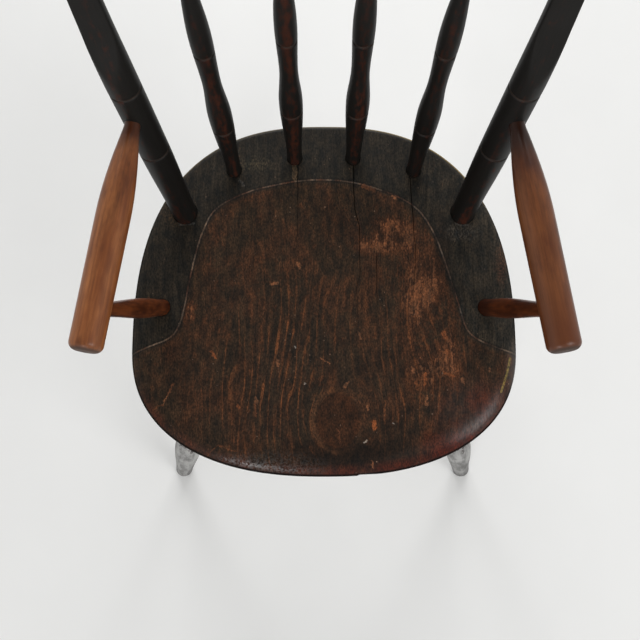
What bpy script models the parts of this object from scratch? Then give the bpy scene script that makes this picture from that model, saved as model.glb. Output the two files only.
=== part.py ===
"""Windsor high chair: a saddled plank seat on four splayed bamboo-turned legs,
with a thumb back of four spindles, turned arms, and round tenons in bored sockets.

Metres, +Z up. The chair faces -Y, stands on Z = 0 and is the same on both sides of X = 0.
Left and right are as seen from the front. Places on the seat are measured back from its front edge.
"""

import math
from collections import namedtuple

import bmesh
import bpy
from mathutils import Vector

# Clearances and facets
FIT = 0.0003
NECK = 0.005
PIN_PROUD = 0.0004
ROUND_SIDES = 14
SLIM_SIDES = 12
OUTLINE_STEPS = 64
RING_CUT = 0.0011
RING_HALF_WIDTH = 0.0016

# Seat plank
SEAT_HEIGHT = 0.520
SEAT_WIDTH = 0.3456
SEAT_DEPTH = 0.323
SEAT_THICKNESS = 0.034
WIDEST_AT = 0.115
FRONT_FULLNESS = 2.36
BACK_FULLNESS = 2.54
FRONT_ROLL = 0.013
BACK_ROUND = 0.004
UNDER_BEVEL_WIDTH = 0.026
UNDER_BEVEL_RISE = 0.013
EDGE_ROUND = 0.002

# Saddle and the groove that bounds it
SADDLE_DEPTH = 0.008
SADDLE_SLOPE = 1.3
GROOVE_SIDE_INSET = 0.0508
GROOVE_BACK_INSET = 0.0525
GROOVE_SPRING = 0.150
GROOVE_FULLNESS = 2.3
GROOVE_FLARE = 0.0406
GROOVE_RADIUS = 0.0018
GROOVE_DEPTH = 0.0014
SOCKET_ROOF = 0.005
SOCKET_FLOOR = 0.012

# Legs
LEG_TENON_RADIUS = 0.0095
FRONT_LEG_INSET = 0.056
FRONT_LEG_BACK = 0.075
FRONT_FOOT_OUTSET = 0.0272
FRONT_FOOT_BACK = 0.012
REAR_LEG_INSET = 0.081
REAR_LEG_FROM_BACK = 0.097
REAR_FOOT_OUTSET = 0.0172
REAR_FOOT_OVERHANG = 0.029
LEG_UPPER_RING = 0.135
LEG_WAIST = 0.215
LEG_LOWER_RING = 0.300
LEG_UPPER_RADIUS = 0.0156
LEG_WAIST_RADIUS = 0.0126
LEG_LOWER_RADIUS = 0.0162
FOOT_RADIUS = 0.0116

# Stretchers
STRETCHER_HEIGHT = 0.190
REAR_STRETCHER_RISE = 0.040
FOOT_RAIL_RISE = 0.075
STRETCHER_TENON_RADIUS = 0.0062
STRETCHER_RADIUS = 0.0105
FOOT_RAIL_RADIUS = 0.0125
FOOT_RAIL_FLAT = 0.0075
FOOT_RAIL_FLAT_MARGIN = 0.055
TENON_PAST_AXIS = 0.003

# Back: stiles, crest and spindles
STILE_INSET = 0.0453
STILE_FROM_BACK = 0.084
STILE_LEAN_BACK = math.radians(13.0)
STILE_LEAN_OUT = math.radians(6.1)
STILE_LENGTH = 0.358
STILE_TENON_RADIUS = 0.0110
STILE_RING = 0.104
STILE_UPPER_RING = 0.182
STILE_RADIUS = 0.0126
STILE_NECK_RADIUS = 0.0104
STILE_THUMB_RADIUS = 0.0120
STILE_THUMB_ROUND = 0.012
STILE_SHAVE_START = 0.188
STILE_SHAVE_END = 0.250
STILE_FLAT = 0.0035
STILE_BEND = 0.016
CREST_BELOW_TOP = 0.0453
CREST_HEIGHT = 0.050
CREST_THICKNESS = 0.0125
CREST_BOW = 0.026
CREST_CROWN = 0.008
CREST_TILT = math.radians(11.0)
CREST_CHAMFER = 0.0025
CREST_HOUSING = 0.002
CREST_TENON_THICKNESS = 0.0065
CREST_TENON_SHOULDER = 0.008
CREST_TENON_LENGTH = 0.0125
CREST_WALL = 0.0022
CREST_STEPS = 16
PIN_RADIUS = 0.0016
SPINDLE_TENON_RADIUS = 0.0068
SPINDLE_SWELL_RADIUS = 0.0099
SPINDLE_WAIST_RADIUS = 0.0074
SPINDLE_UPPER_RADIUS = 0.0086
SPINDLE_SWELL = 0.090
SPINDLE_WAIST = 0.136
SPINDLE_UPPER_RING = 0.172
SPINDLE_UPPER_SWELL = 0.186
SPINDLE_HEAD_TENON = 0.014
INNER_SPINDLE_SPREAD = 0.0270
INNER_SPINDLE_EDGE = 0.0318
INNER_HEAD_SPREAD = 0.0300
INNER_SPINDLE_RING = 0.0790
OUTER_SPINDLE_SPREAD = 0.0830
OUTER_SPINDLE_EDGE = 0.0434
OUTER_HEAD_SPREAD = 0.0960
OUTER_SPINDLE_RING = 0.0715

# Arms and their posts
ARM_HEIGHT = 0.150
ARM_FRONT_HEIGHT = 0.153
ARM_FRONT_BACK = 0.0885
ARM_TENON_RADIUS = 0.0060
ARM_RADIUS = 0.0130
ARM_END_RADIUS = 0.0128
ARM_SWELL = 0.085
ARM_END_ROUND = 0.0060
POST_INSET = 0.0263
POST_BACK = 0.150
POST_HEAD_FROM_END = 0.031
POST_TENON_RADIUS = 0.0076
POST_RADIUS = 0.0085
POST_SWELL = 0.050
POST_HEAD_RADIUS = 0.0058

# Finishes: colour and roughness
BLACK_PAINT = ((0.020, 0.018, 0.015, 1.0), 0.45)
WORN_SEAT = ((0.045, 0.026, 0.017, 1.0), 0.42)
BARE_WOOD = ((0.230, 0.080, 0.030, 1.0), 0.38)
RED_BROWN = ((0.100, 0.028, 0.010, 1.0), 0.42)

SIDES = (("left", -1), ("right", 1))
UPRIGHT = Vector((0.0, 0.0, 1.0))
LEG_ROWS = {
    "front": (FRONT_LEG_INSET, FRONT_LEG_BACK, FRONT_FOOT_OUTSET, FRONT_FOOT_BACK),
    "rear": (
        REAR_LEG_INSET,
        SEAT_DEPTH - REAR_LEG_FROM_BACK,
        REAR_FOOT_OUTSET,
        SEAT_DEPTH + REAR_FOOT_OVERHANG,
    ),
}

# Places with their directions
StileAxes = namedtuple("StileAxes", "foot up back across")
CrestBow = namedtuple("CrestBow", "radius rear height end_turn")
CrestPlace = namedtuple("CrestPlace", "point across up back")


def clear_scene():
    """Removes every object of the open scene."""
    for thing in list(bpy.data.objects):
        bpy.data.objects.remove(thing, do_unlink=True)


def new_collection(name):
    """A collection under the scene's own."""
    made = bpy.data.collections.new(name)
    bpy.context.scene.collection.children.link(made)
    return made


def finish(name, look):
    """The part's own painted or bare wood material."""
    colour, roughness = look
    made = bpy.data.materials.new(name)
    made.use_nodes = True
    shader = made.node_tree.nodes["Principled BSDF"]
    shader.inputs["Base Color"].default_value = colour
    shader.inputs["Roughness"].default_value = roughness
    shader.inputs["Metallic"].default_value = 0.0
    made.diffuse_color = colour
    return made


def add_part(name, mesh, look):
    """Puts a mesh into the chair as a named part, shaded smooth over its round faces."""
    mesh.shade_smooth()
    mesh.set_sharp_from_angle(angle=math.radians(35.0))
    mesh.materials.append(finish(name, look))
    part = bpy.data.objects.new(name, mesh)
    parts.objects.link(part)
    part.parent = chair
    return part


def turn_to(direction):
    """The rotation that takes the Z axis to a direction."""
    return UPRIGHT.rotation_difference(direction)


def add_cutter(name, mesh, place, direction):
    """A tool body that is not part of the chair, with its own Z along direction."""
    cutter = bpy.data.objects.new(name, mesh)
    cutters.objects.link(cutter)
    cutter.parent = chair
    cutter.location = place
    cutter.rotation_mode = "QUATERNION"
    cutter.rotation_quaternion = turn_to(direction)
    cutter.hide_render = True
    cutter.display_type = "WIRE"
    return cutter


def cut(host, cutter):
    """Takes the cutter out of the host."""
    modifier = host.modifiers.new(cutter.name, "BOOLEAN")
    modifier.operation = "DIFFERENCE"
    modifier.solver = "EXACT"
    modifier.object = cutter


def mesh_of(name, build):
    """A new mesh that build fills through bmesh."""
    made = bpy.data.meshes.new(name)
    work = bmesh.new()
    build(work)
    bmesh.ops.recalc_face_normals(work, faces=work.faces)
    work.to_mesh(made)
    work.free()
    return made


def round_cutter(name, start, direction, radius, length, sides):
    """A straight drill from start along direction."""
    along = Vector(direction).normalized()

    def drill(work):
        bmesh.ops.create_cone(
            work, cap_ends=True, segments=sides, radius1=radius, radius2=radius, depth=length
        )

    return add_cutter(name, mesh_of(name, drill), Vector(start) + along * length / 2, along)


def loft(name, rings, look):
    """Skins a row of rings with equal counts of points, and closes both ends."""

    def skin(work):
        rows = [[work.verts.new(point) for point in ring] for ring in rings]
        count = len(rows[0])
        for lower, upper in zip(rows, rows[1:]):
            for step in range(count):
                after = (step + 1) % count
                work.faces.new((lower[step], lower[after], upper[after], upper[step]))
        work.faces.new(rows[0])
        work.faces.new(rows[-1])

    return add_part(name, mesh_of(name, skin), look)


def eased_radius(stations, distance):
    """The radius between two stations, level at each of them, as a turner rounds a swell."""
    if distance <= stations[0][0]:
        return stations[0][1]
    for (near, near_radius), (far, far_radius) in zip(stations, stations[1:]):
        if distance <= far:
            share = (distance - near) / (far - near)
            return near_radius + (far_radius - near_radius) * (1 - math.cos(math.pi * share)) / 2
    return stations[-1][1]


def turned_profile(stations, rings=(), steps=4):
    """Distances and radii down a turned piece, with an incised line at each ring."""
    places = {stations[0][0]}
    for (near, near_radius), (far, far_radius) in zip(stations, stations[1:]):
        count = 1 if near_radius == far_radius else steps
        places.update(near + (far - near) * (step + 1) / count for step in range(count))
    for ring in rings:
        places = {place for place in places if abs(place - ring) > 2 * RING_HALF_WIDTH}
        places.update((ring - RING_HALF_WIDTH, ring, ring + RING_HALF_WIDTH))
    depth = {ring: RING_CUT for ring in rings}
    return [(place, eased_radius(stations, place) - depth.get(place, 0.0)) for place in sorted(places)]


def turned(name, start, direction, profile, look, sides):
    """A piece turned about the line from start along direction."""
    points = [(0.0, 0.0, profile[-1][0])]
    points += [(radius, 0.0, distance) for distance, radius in reversed(profile)]
    points += [(0.0, 0.0, profile[0][0])]
    mesh = bpy.data.meshes.new(name)
    mesh.from_pydata(points, [(step, step + 1) for step in range(len(points) - 1)], [])
    part = add_part(name, mesh, look)
    part.location = start
    part.rotation_mode = "QUATERNION"
    part.rotation_quaternion = turn_to(direction)
    spin = part.modifiers.new("turning", "SCREW")
    spin.axis = "Z"
    spin.angle = math.tau
    spin.screw_offset = 0.0
    spin.steps = sides
    spin.render_steps = sides
    spin.use_merge_vertices = True
    spin.merge_threshold = 0.00001
    spin.use_smooth_shade = True
    return part


def bore(host, mate, mouth, direction, radius, depth, sides):
    """Drills the socket for a mate's tenon: depth past the mouth, and clear of it outside."""
    along = Vector(direction).normalized()
    run_in = NECK + radius
    drill = round_cutter(
        f"{host.name}_socket_{mate}",
        Vector(mouth) - along * run_in,
        along,
        radius + FIT,
        run_in + depth + FIT,
        sides,
    )
    cut(host, drill)


def outline_point(turn):
    """A point of the seat's outline: two half superellipses that meet at the widest line."""
    across, back = math.cos(turn), math.sin(turn)
    fullness = BACK_FULLNESS if back > 0 else FRONT_FULLNESS
    reach = SEAT_DEPTH - WIDEST_AT if back > 0 else WIDEST_AT
    x = SEAT_WIDTH / 2 * math.copysign(abs(across) ** (2 / fullness), across)
    y = WIDEST_AT + reach * math.copysign(abs(back) ** (2 / fullness), back)
    return Vector((x, y, 0.0))


def outline_half_width(y):
    """Half the seat's width at a distance back from its front edge."""
    behind = y > WIDEST_AT
    fullness = BACK_FULLNESS if behind else FRONT_FULLNESS
    reach = SEAT_DEPTH - WIDEST_AT if behind else WIDEST_AT
    share = min(1.0, abs(y - WIDEST_AT) / reach)
    return SEAT_WIDTH / 2 * (1 - share**fullness) ** (1 / fullness)


def groove_arch_reach():
    """From the line where the groove's arch springs to its rearmost point."""
    return SEAT_DEPTH - GROOVE_BACK_INSET - GROOVE_SPRING


def groove_point(turn):
    """A point of the groove's arch, from 0 at the right spring to pi at the left one."""
    across, back = math.cos(turn), math.sin(turn)
    half_width = SEAT_WIDTH / 2 - GROOVE_SIDE_INSET
    x = half_width * math.copysign(abs(across) ** (2 / GROOVE_FULLNESS), across)
    y = GROOVE_SPRING + groove_arch_reach() * abs(back) ** (2 / GROOVE_FULLNESS)
    return Vector((x, y, 0.0))


def flare_point(turn, side):
    """A point of the groove's flare, from 0 at the spring to half pi at the seat's edge."""
    x = SEAT_WIDTH / 2 - GROOVE_SIDE_INSET * math.cos(turn)
    y = GROOVE_SPRING - GROOVE_FLARE * math.sin(turn)
    return Vector((side * x, y, 0.0))


def saddle_half_width(y):
    """Half the width of the saddled area: inside the groove, then out to the seat's edge."""
    if y < GROOVE_SPRING - GROOVE_FLARE:
        return outline_half_width(y)
    share = min(1.0, (GROOVE_SPRING - y) / GROOVE_FLARE)
    return SEAT_WIDTH / 2 - GROOVE_SIDE_INSET * math.sqrt(1 - max(0.0, share) ** 2)


def saddle_drop(x, y):
    """How far the seat's top lies under the flat deck."""
    reach = groove_arch_reach() if y > GROOVE_SPRING else GROOVE_SPRING
    width = max(saddle_half_width(y), EDGE_ROUND)
    spread = (abs(x) / width) ** GROOVE_FULLNESS
    spread += (abs(y - GROOVE_SPRING) / reach) ** GROOVE_FULLNESS
    return SADDLE_DEPTH * max(0.0, 1 - spread) ** SADDLE_SLOPE


def seat_ring(inset, height, on_top):
    """One ring of the plank, set in from the outline by inset(front share)."""
    ring = []
    for step in range(OUTLINE_STEPS):
        turn = math.tau * (step + 0.5) / OUTLINE_STEPS
        edge = outline_point(turn)
        ahead = outline_point(turn + 0.01) - outline_point(turn - 0.01)
        inward = Vector((-ahead.y, ahead.x, 0.0)).normalized()
        front_share = (1 - math.sin(turn)) / 2
        point = edge + inward * inset(front_share)
        point.z = height(front_share) - (saddle_drop(point.x, point.y) if on_top else 0.0)
        ring.append(point)
    return ring


def edge_roll(front_share):
    """The round-over of the top edge, widest at the front."""
    return BACK_ROUND + (FRONT_ROLL - BACK_ROUND) * front_share**1.5


def seat_rings():
    """The plank's rings, from the middle of its underside over the edge to the middle of the saddle."""
    rings = [seat_ring(lambda share: UNDER_BEVEL_WIDTH, lambda share: 0.0, False)]
    rings.append(seat_ring(lambda share: EDGE_ROUND, lambda share: UNDER_BEVEL_RISE, False))
    rings.append(seat_ring(lambda share: 0.0, lambda share: UNDER_BEVEL_RISE + EDGE_ROUND, False))
    for step in range(4):
        lift = math.pi / 2 * step / 3
        rings.append(
            seat_ring(
                lambda share, lift=lift: edge_roll(share) * (1 - math.cos(lift)),
                lambda share, lift=lift: SEAT_THICKNESS - edge_roll(share) * (1 - math.sin(lift)),
                step == 3,
            )
        )
    middle = Vector((0.0, GROOVE_SPRING, 0.0))
    for share in (0.86, 0.72, 0.57, 0.40, 0.20):
        ring = []
        for edge in rings[6]:
            point = middle.lerp(Vector((edge.x, edge.y, 0.0)), share)
            point.z = SEAT_THICKNESS - saddle_drop(point.x, point.y)
            ring.append(point)
        rings.append(ring)
    return rings


def groove_path():
    """The groove from the seat's right edge round the saddle to its left edge."""
    path = [flare_point(math.pi / 2 * (1.06 - 0.14 * step), 1) for step in range(8)]
    path += [groove_point(math.pi * step / 24) for step in range(1, 24)]
    path += [flare_point(math.pi / 2 * (0.08 + 0.14 * step), -1) for step in range(8)]
    return path


def groove_gouge():
    """A round gouge along the groove, as deep in the deck as the groove."""
    path = groove_path()
    curve = bpy.data.curves.new("groove", "CURVE")
    curve.dimensions = "3D"
    curve.bevel_depth = GROOVE_RADIUS
    curve.bevel_resolution = 1
    curve.use_fill_caps = True
    spline = curve.splines.new("POLY")
    spline.points.add(len(path) - 1)
    level = SEAT_HEIGHT + GROOVE_RADIUS - GROOVE_DEPTH
    for point, place in zip(spline.points, path):
        point.co = (place.x, place.y, level, 1.0)
    guide = bpy.data.objects.new("groove_guide", curve)
    cutters.objects.link(guide)
    graph = bpy.context.evaluated_depsgraph_get()
    mesh = bpy.data.meshes.new_from_object(guide.evaluated_get(graph))
    bpy.data.objects.remove(guide, do_unlink=True)
    work = bmesh.new()
    work.from_mesh(mesh)
    bmesh.ops.remove_doubles(work, verts=work.verts, dist=0.00001)
    bmesh.ops.recalc_face_normals(work, faces=work.faces)
    work.to_mesh(mesh)
    work.free()
    return add_cutter("seat_groove", mesh, (0.0, 0.0, 0.0), UPRIGHT)


def make_seat():
    """The plank, with its groove cut along the saddle's border."""
    seat = loft("seat", seat_rings(), WORN_SEAT)
    seat.location.z = SEAT_HEIGHT - SEAT_THICKNESS
    cut(seat, groove_gouge())
    return seat


def leg_line(row, side):
    """Where a leg leaves the underside of the seat, its direction to the floor, and its length."""
    inset, back, outset, foot_back = LEG_ROWS[row]
    head = Vector((side * (SEAT_WIDTH / 2 - inset), back, SEAT_HEIGHT - SEAT_THICKNESS))
    foot = Vector((side * (SEAT_WIDTH / 2 + outset), foot_back, 0.0))
    return head, (foot - head).normalized(), (foot - head).length


def leg_tenon():
    """The length of a leg inside the seat, short of the saddle."""
    return SEAT_THICKNESS - SADDLE_DEPTH - SOCKET_ROOF


def leg_stations(length):
    """Radii down a leg: tenon, two bamboo swells with a waist between them, and the foot."""
    return [
        (-leg_tenon(), LEG_TENON_RADIUS),
        (NECK, LEG_TENON_RADIUS),
        (LEG_UPPER_RING, LEG_UPPER_RADIUS),
        (LEG_WAIST, LEG_WAIST_RADIUS),
        (LEG_LOWER_RING, LEG_LOWER_RADIUS),
        (length, FOOT_RADIUS),
    ]


def leg_at(row, side, height):
    """The middle of a leg and its radius at a height over the floor."""
    head, along, length = leg_line(row, side)
    distance = (height - head.z) / along.z
    return head + along * distance, eased_radius(leg_stations(length), distance)


def make_leg(row, side_name, side, seat, floor):
    """A leg in its blind socket, cut level at the floor."""
    head, along, length = leg_line(row, side)
    profile = turned_profile(leg_stations(length), (LEG_UPPER_RING, LEG_LOWER_RING))
    profile.append((length + FOOT_RADIUS, FOOT_RADIUS))
    leg = turned(f"leg_{row}_{side_name}", head, along, profile, BLACK_PAINT, ROUND_SIDES)
    cut(leg, floor)
    bore(seat, leg.name, head, -along, LEG_TENON_RADIUS, leg_tenon(), ROUND_SIDES)
    return leg


def make_floor_cutter():
    """A block under the floor that levels the feet."""
    depth = 8 * FOOT_RADIUS

    def block(work):
        bmesh.ops.create_cube(work, size=1.0)
        bmesh.ops.scale(work, vec=(4 * SEAT_WIDTH, 8 * SEAT_DEPTH, depth), verts=work.verts)

    return add_cutter("floor_level", mesh_of("floor_level", block), (0.0, 0.0, -depth / 2), UPRIGHT)


def make_stretcher(name, near_leg, far_leg, near, far, radius, ringed, look):
    """A stretcher whose round ends are socketed in two legs, given as (middle, radius) each."""
    length = (far[0] - near[0]).length
    along = (far[0] - near[0]).normalized()
    stations = [
        (-TENON_PAST_AXIS, STRETCHER_TENON_RADIUS),
        (near[1] + NECK, STRETCHER_TENON_RADIUS),
        (length / 2, radius),
        (length - far[1] - NECK, STRETCHER_TENON_RADIUS),
        (length + TENON_PAST_AXIS, STRETCHER_TENON_RADIUS),
    ]
    rings = (length / 2,) if ringed else ()
    part = turned(name, near[0], along, turned_profile(stations, rings), look, SLIM_SIDES)
    for leg, end, outward in ((near_leg, near, -along), (far_leg, far, along)):
        mouth = end[0] - outward * end[1]
        depth = end[1] + TENON_PAST_AXIS
        bore(leg, name, mouth, outward, STRETCHER_TENON_RADIUS, depth, SLIM_SIDES)
    return part


def shave_foot_rail(rail, near, far):
    """Planes the top of the foot rail flat between its ends."""
    middle = (near[0] + far[0]) / 2
    run = (far[0] - near[0]).length - 2 * FOOT_RAIL_FLAT_MARGIN
    height = 2 * FOOT_RAIL_RADIUS

    def plane(work):
        bmesh.ops.create_cube(work, size=1.0)
        bmesh.ops.scale(work, vec=(run, 2 * height, height), verts=work.verts)

    place = middle + Vector((0.0, 0.0, FOOT_RAIL_FLAT + height / 2))
    cut(rail, add_cutter("foot_rail_plane", mesh_of("foot_rail_plane", plane), place, UPRIGHT))


def make_underframe(seat):
    """Four legs and the stretchers between them."""
    floor = make_floor_cutter()
    legs = {}
    for row in ("front", "rear"):
        for side_name, side in SIDES:
            legs[row, side] = make_leg(row, side_name, side, seat, floor)
    for side_name, side in SIDES:
        near = leg_at("front", side, STRETCHER_HEIGHT)
        far = leg_at("rear", side, STRETCHER_HEIGHT)
        make_stretcher(
            f"stretcher_{side_name}", legs["front", side], legs["rear", side],
            near, far, STRETCHER_RADIUS, True, BLACK_PAINT,
        )
    ends = [leg_at("rear", side, STRETCHER_HEIGHT + REAR_STRETCHER_RISE) for _, side in SIDES]
    make_stretcher(
        "stretcher_rear", legs["rear", -1], legs["rear", 1],
        ends[0], ends[1], STRETCHER_RADIUS, True, BLACK_PAINT,
    )
    ends = [leg_at("front", side, STRETCHER_HEIGHT + FOOT_RAIL_RISE) for _, side in SIDES]
    rail = make_stretcher(
        "foot_rail", legs["front", -1], legs["front", 1],
        ends[0], ends[1], FOOT_RAIL_RADIUS, False, BLACK_PAINT,
    )
    shave_foot_rail(rail, ends[0], ends[1])


def deck_tenon():
    """The length of a stile, spindle or post inside the seat."""
    return SEAT_THICKNESS - SOCKET_FLOOR


def stile_axes(side):
    """The foot of a stile on the deck, with its upward, backward and sideways directions."""
    foot = Vector((side * (SEAT_WIDTH / 2 - STILE_INSET), SEAT_DEPTH - STILE_FROM_BACK, SEAT_HEIGHT))
    up = Vector((side * math.tan(STILE_LEAN_OUT), math.tan(STILE_LEAN_BACK), 1.0)).normalized()
    back = (Vector((0.0, 1.0, 0.0)) - up * up.y).normalized()
    return StileAxes(foot, up, back, back.cross(up))


def stile_radius(distance):
    """The radius of a stile at a distance up from the deck."""
    stations = [
        (NECK, STILE_TENON_RADIUS),
        (STILE_RING, STILE_RADIUS),
        (STILE_UPPER_RING, STILE_RADIUS),
        (STILE_LENGTH - CREST_HEIGHT, STILE_NECK_RADIUS),
        (STILE_LENGTH, STILE_THUMB_RADIUS),
    ]
    return eased_radius(stations, distance)


def stile_middle(side, distance):
    """The middle of a stile at a distance up from the deck, bent back above the arms."""
    axes = stile_axes(side)
    share = max(0.0, (distance - STILE_SHAVE_START) / (STILE_LENGTH - STILE_SHAVE_START))
    return axes.foot + axes.up * distance + axes.back * (STILE_BEND * share**2)


def stile_flat(distance):
    """From the middle of a stile to its front face, which is shaved flat above the arms."""
    stations = [(STILE_SHAVE_START, stile_radius(STILE_SHAVE_START)), (STILE_SHAVE_END, STILE_FLAT)]
    return min(eased_radius(stations, distance), stile_radius(distance))


def stile_ring(side, distance, radius, flat):
    """One section of a stile: a circle, cut straight in front."""
    axes = stile_axes(side)
    middle = stile_middle(side, distance)
    ring = []
    for step in range(ROUND_SIDES):
        turn = math.tau * (step + 0.5) / ROUND_SIDES
        depth = max(radius * math.sin(turn), -flat)
        ring.append(middle + axes.across * (radius * math.cos(turn)) + axes.back * depth)
    return ring


def make_stile(side_name, side, seat):
    """A back stile, round at the seat and arm, then shaved and bent, ending in a rounded thumb."""
    rows = [(-deck_tenon(), 0.0), (NECK, 0.0)]
    rows += [(STILE_RING * share, 0.0) for share in (0.4, 0.75)]
    for ring in (STILE_RING, STILE_UPPER_RING):
        rows += [(ring - RING_HALF_WIDTH, 0.0), (ring, RING_CUT), (ring + RING_HALF_WIDTH, 0.0)]
    shaved = STILE_LENGTH - STILE_THUMB_ROUND - STILE_SHAVE_START
    rows += [(STILE_SHAVE_START + shaved * step / 8, 0.0) for step in range(9)]
    rings = []
    for distance, notch in rows:
        radius = stile_radius(distance) - notch
        rings.append(stile_ring(side, distance, radius, min(radius, stile_flat(distance))))
    for lift in (0.55, 0.87, 1.0):
        distance = STILE_LENGTH - STILE_THUMB_ROUND * (1 - lift)
        share = max(0.3, math.sqrt(1 - lift**2))
        rings.append(stile_ring(side, distance, stile_radius(distance) * share, stile_flat(distance) * share))
    stile = loft(f"stile_{side_name}", rings, BLACK_PAINT)
    axes = stile_axes(side)
    bore(seat, stile.name, axes.foot, -axes.up, STILE_TENON_RADIUS, deck_tenon(), ROUND_SIDES)
    return stile


def crest_level():
    """The distance up a stile to the middle of the crest."""
    return STILE_LENGTH - CREST_BELOW_TOP


def crest_end(side):
    """Where the crest's bowed centre line meets the middle of a stile's section."""
    level = crest_level()
    set_back = (stile_radius(level) - stile_flat(level)) / 2
    return stile_middle(side, level) + stile_axes(side).back * set_back


def crest_curve():
    """The radius of the crest's bow, its rearmost Y, its height and the angle at its ends."""
    end = crest_end(1)
    radius = (end.x**2 + CREST_BOW**2) / (2 * CREST_BOW)
    return CrestBow(radius, end.y + CREST_BOW, end.z, math.asin(end.x / radius))


def crest_frame(turn):
    """A point of the crest's centre line with its sideways, upward and backward directions."""
    bow = crest_curve()
    outward = Vector((math.sin(turn), math.cos(turn), 0.0))
    across = Vector((math.cos(turn), -math.sin(turn), 0.0))
    point = Vector((0.0, bow.rear - bow.radius, bow.height)) + outward * bow.radius
    up = Vector((0.0, 0.0, math.cos(CREST_TILT))) + outward * math.sin(CREST_TILT)
    return CrestPlace(point, across, up, up.cross(across))


def crest_shoulder_turn():
    """The angle of the crest's shoulders, let into the stiles a little."""
    bow = crest_curve()
    clear = stile_radius(crest_level()) - CREST_HOUSING
    return bow.end_turn - clear / bow.radius


def crest_shoulder(side):
    """The crest's place at a shoulder."""
    return crest_frame(side * crest_shoulder_turn())


def crest_section(place, half_thickness, low, high, chamfer):
    """Eight points round a chamfered section."""
    corners = (
        (-half_thickness + chamfer, low),
        (half_thickness - chamfer, low),
        (half_thickness, low + chamfer),
        (half_thickness, high - chamfer),
        (half_thickness - chamfer, high),
        (-half_thickness + chamfer, high),
        (-half_thickness, high - chamfer),
        (-half_thickness, low + chamfer),
    )
    return [place.point + place.back * depth + place.up * height for depth, height in corners]


def crest_tenon_ring(side, reach):
    """A section of a crest tenon, at a reach past its shoulder."""
    shoulder = crest_shoulder(side)
    half_height = CREST_HEIGHT / 2 - CREST_TENON_SHOULDER
    half_thickness = CREST_TENON_THICKNESS / 2
    place = shoulder._replace(point=shoulder.point + shoulder.across * (side * reach))
    return crest_section(place, half_thickness, -half_height, half_height, half_thickness / 4)


def make_crest():
    """The bowed crest rail, crowned in the middle, with a shouldered tenon at each end."""
    limit = crest_shoulder_turn()
    rings = [crest_tenon_ring(-1, CREST_TENON_LENGTH), crest_tenon_ring(-1, 0.0)]
    for step in range(CREST_STEPS + 1):
        share = 2 * step / CREST_STEPS - 1
        place = crest_frame(limit * share)
        high = CREST_HEIGHT / 2 + CREST_CROWN * (1 - share**2)
        rings.append(crest_section(place, CREST_THICKNESS / 2, -CREST_HEIGHT / 2, high, CREST_CHAMFER))
    rings += [crest_tenon_ring(1, 0.0), crest_tenon_ring(1, CREST_TENON_LENGTH)]
    return loft("crest_rail", rings, BLACK_PAINT)


def mortise_cutter(name, side, start, length, thickness, height):
    """A square-cut block along a crest end, from start past the shoulder."""
    shoulder = crest_shoulder(side)
    depth_step = shoulder.back * (thickness / 2)
    lift_step = shoulder.up * (height / 2)

    def block(work):
        corners = []
        for reach in (start, start + length):
            place = shoulder.point + shoulder.across * (side * reach)
            for depth, lift in ((-1, -1), (1, -1), (1, 1), (-1, 1)):
                corners.append(place + depth_step * depth + lift_step * lift)
        made = [work.verts.new(corner) for corner in corners]
        bmesh.ops.convex_hull(work, input=made)

    return add_cutter(name, mesh_of(name, block), (0.0, 0.0, 0.0), UPRIGHT)


def join_crest(crest, stile, side_name, side):
    """Lets a crest end into its stile, and bores both for the pin."""
    housing = mortise_cutter(
        f"{stile.name}_housing", side, FIT - 2 * STILE_RADIUS, 2 * STILE_RADIUS,
        CREST_THICKNESS + 2 * FIT, CREST_HEIGHT + 2 * FIT,
    )
    mortise = mortise_cutter(
        f"{stile.name}_mortise", side, -FIT, CREST_TENON_LENGTH + 2 * FIT,
        CREST_TENON_THICKNESS + 2 * FIT, CREST_HEIGHT - 2 * CREST_TENON_SHOULDER + 2 * FIT,
    )
    cut(stile, housing)
    cut(stile, mortise)
    middle, along, half = pin_line(side)
    hole = round_cutter(
        f"crest_pin_hole_{side_name}",
        middle - along * 2 * half,
        along,
        PIN_RADIUS + FIT,
        4 * half,
        SLIM_SIDES,
    )
    cut(stile, hole)
    cut(crest, hole)


def pin_line(side):
    """The middle of a crest pin, its direction to the rear and half its length."""
    shoulder = crest_shoulder(side)
    level = crest_level()
    middle = shoulder.point + shoulder.across * (side * CREST_TENON_LENGTH / 2)
    half = (stile_radius(level) + stile_flat(level)) / 2 + PIN_PROUD
    return middle, shoulder.back, half


def make_pin(side_name, side):
    """A wooden pin from the shaved front of the stile to just proud of its round back."""
    middle, along, half = pin_line(side)
    profile = [(-half, PIN_RADIUS), (half, PIN_RADIUS)]
    turned(f"crest_pin_{side_name}", middle, along, profile, BARE_WOOD, SLIM_SIDES)


def spindle_line(spread, edge, head_spread):
    """The foot of a spindle on the deck and its head at the underside of the crest."""
    foot = Vector((spread, SEAT_DEPTH - edge, SEAT_HEIGHT))
    place = crest_frame(math.asin(head_spread / crest_curve().radius))
    return foot, place.point - place.up * (CREST_HEIGHT / 2)


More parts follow.
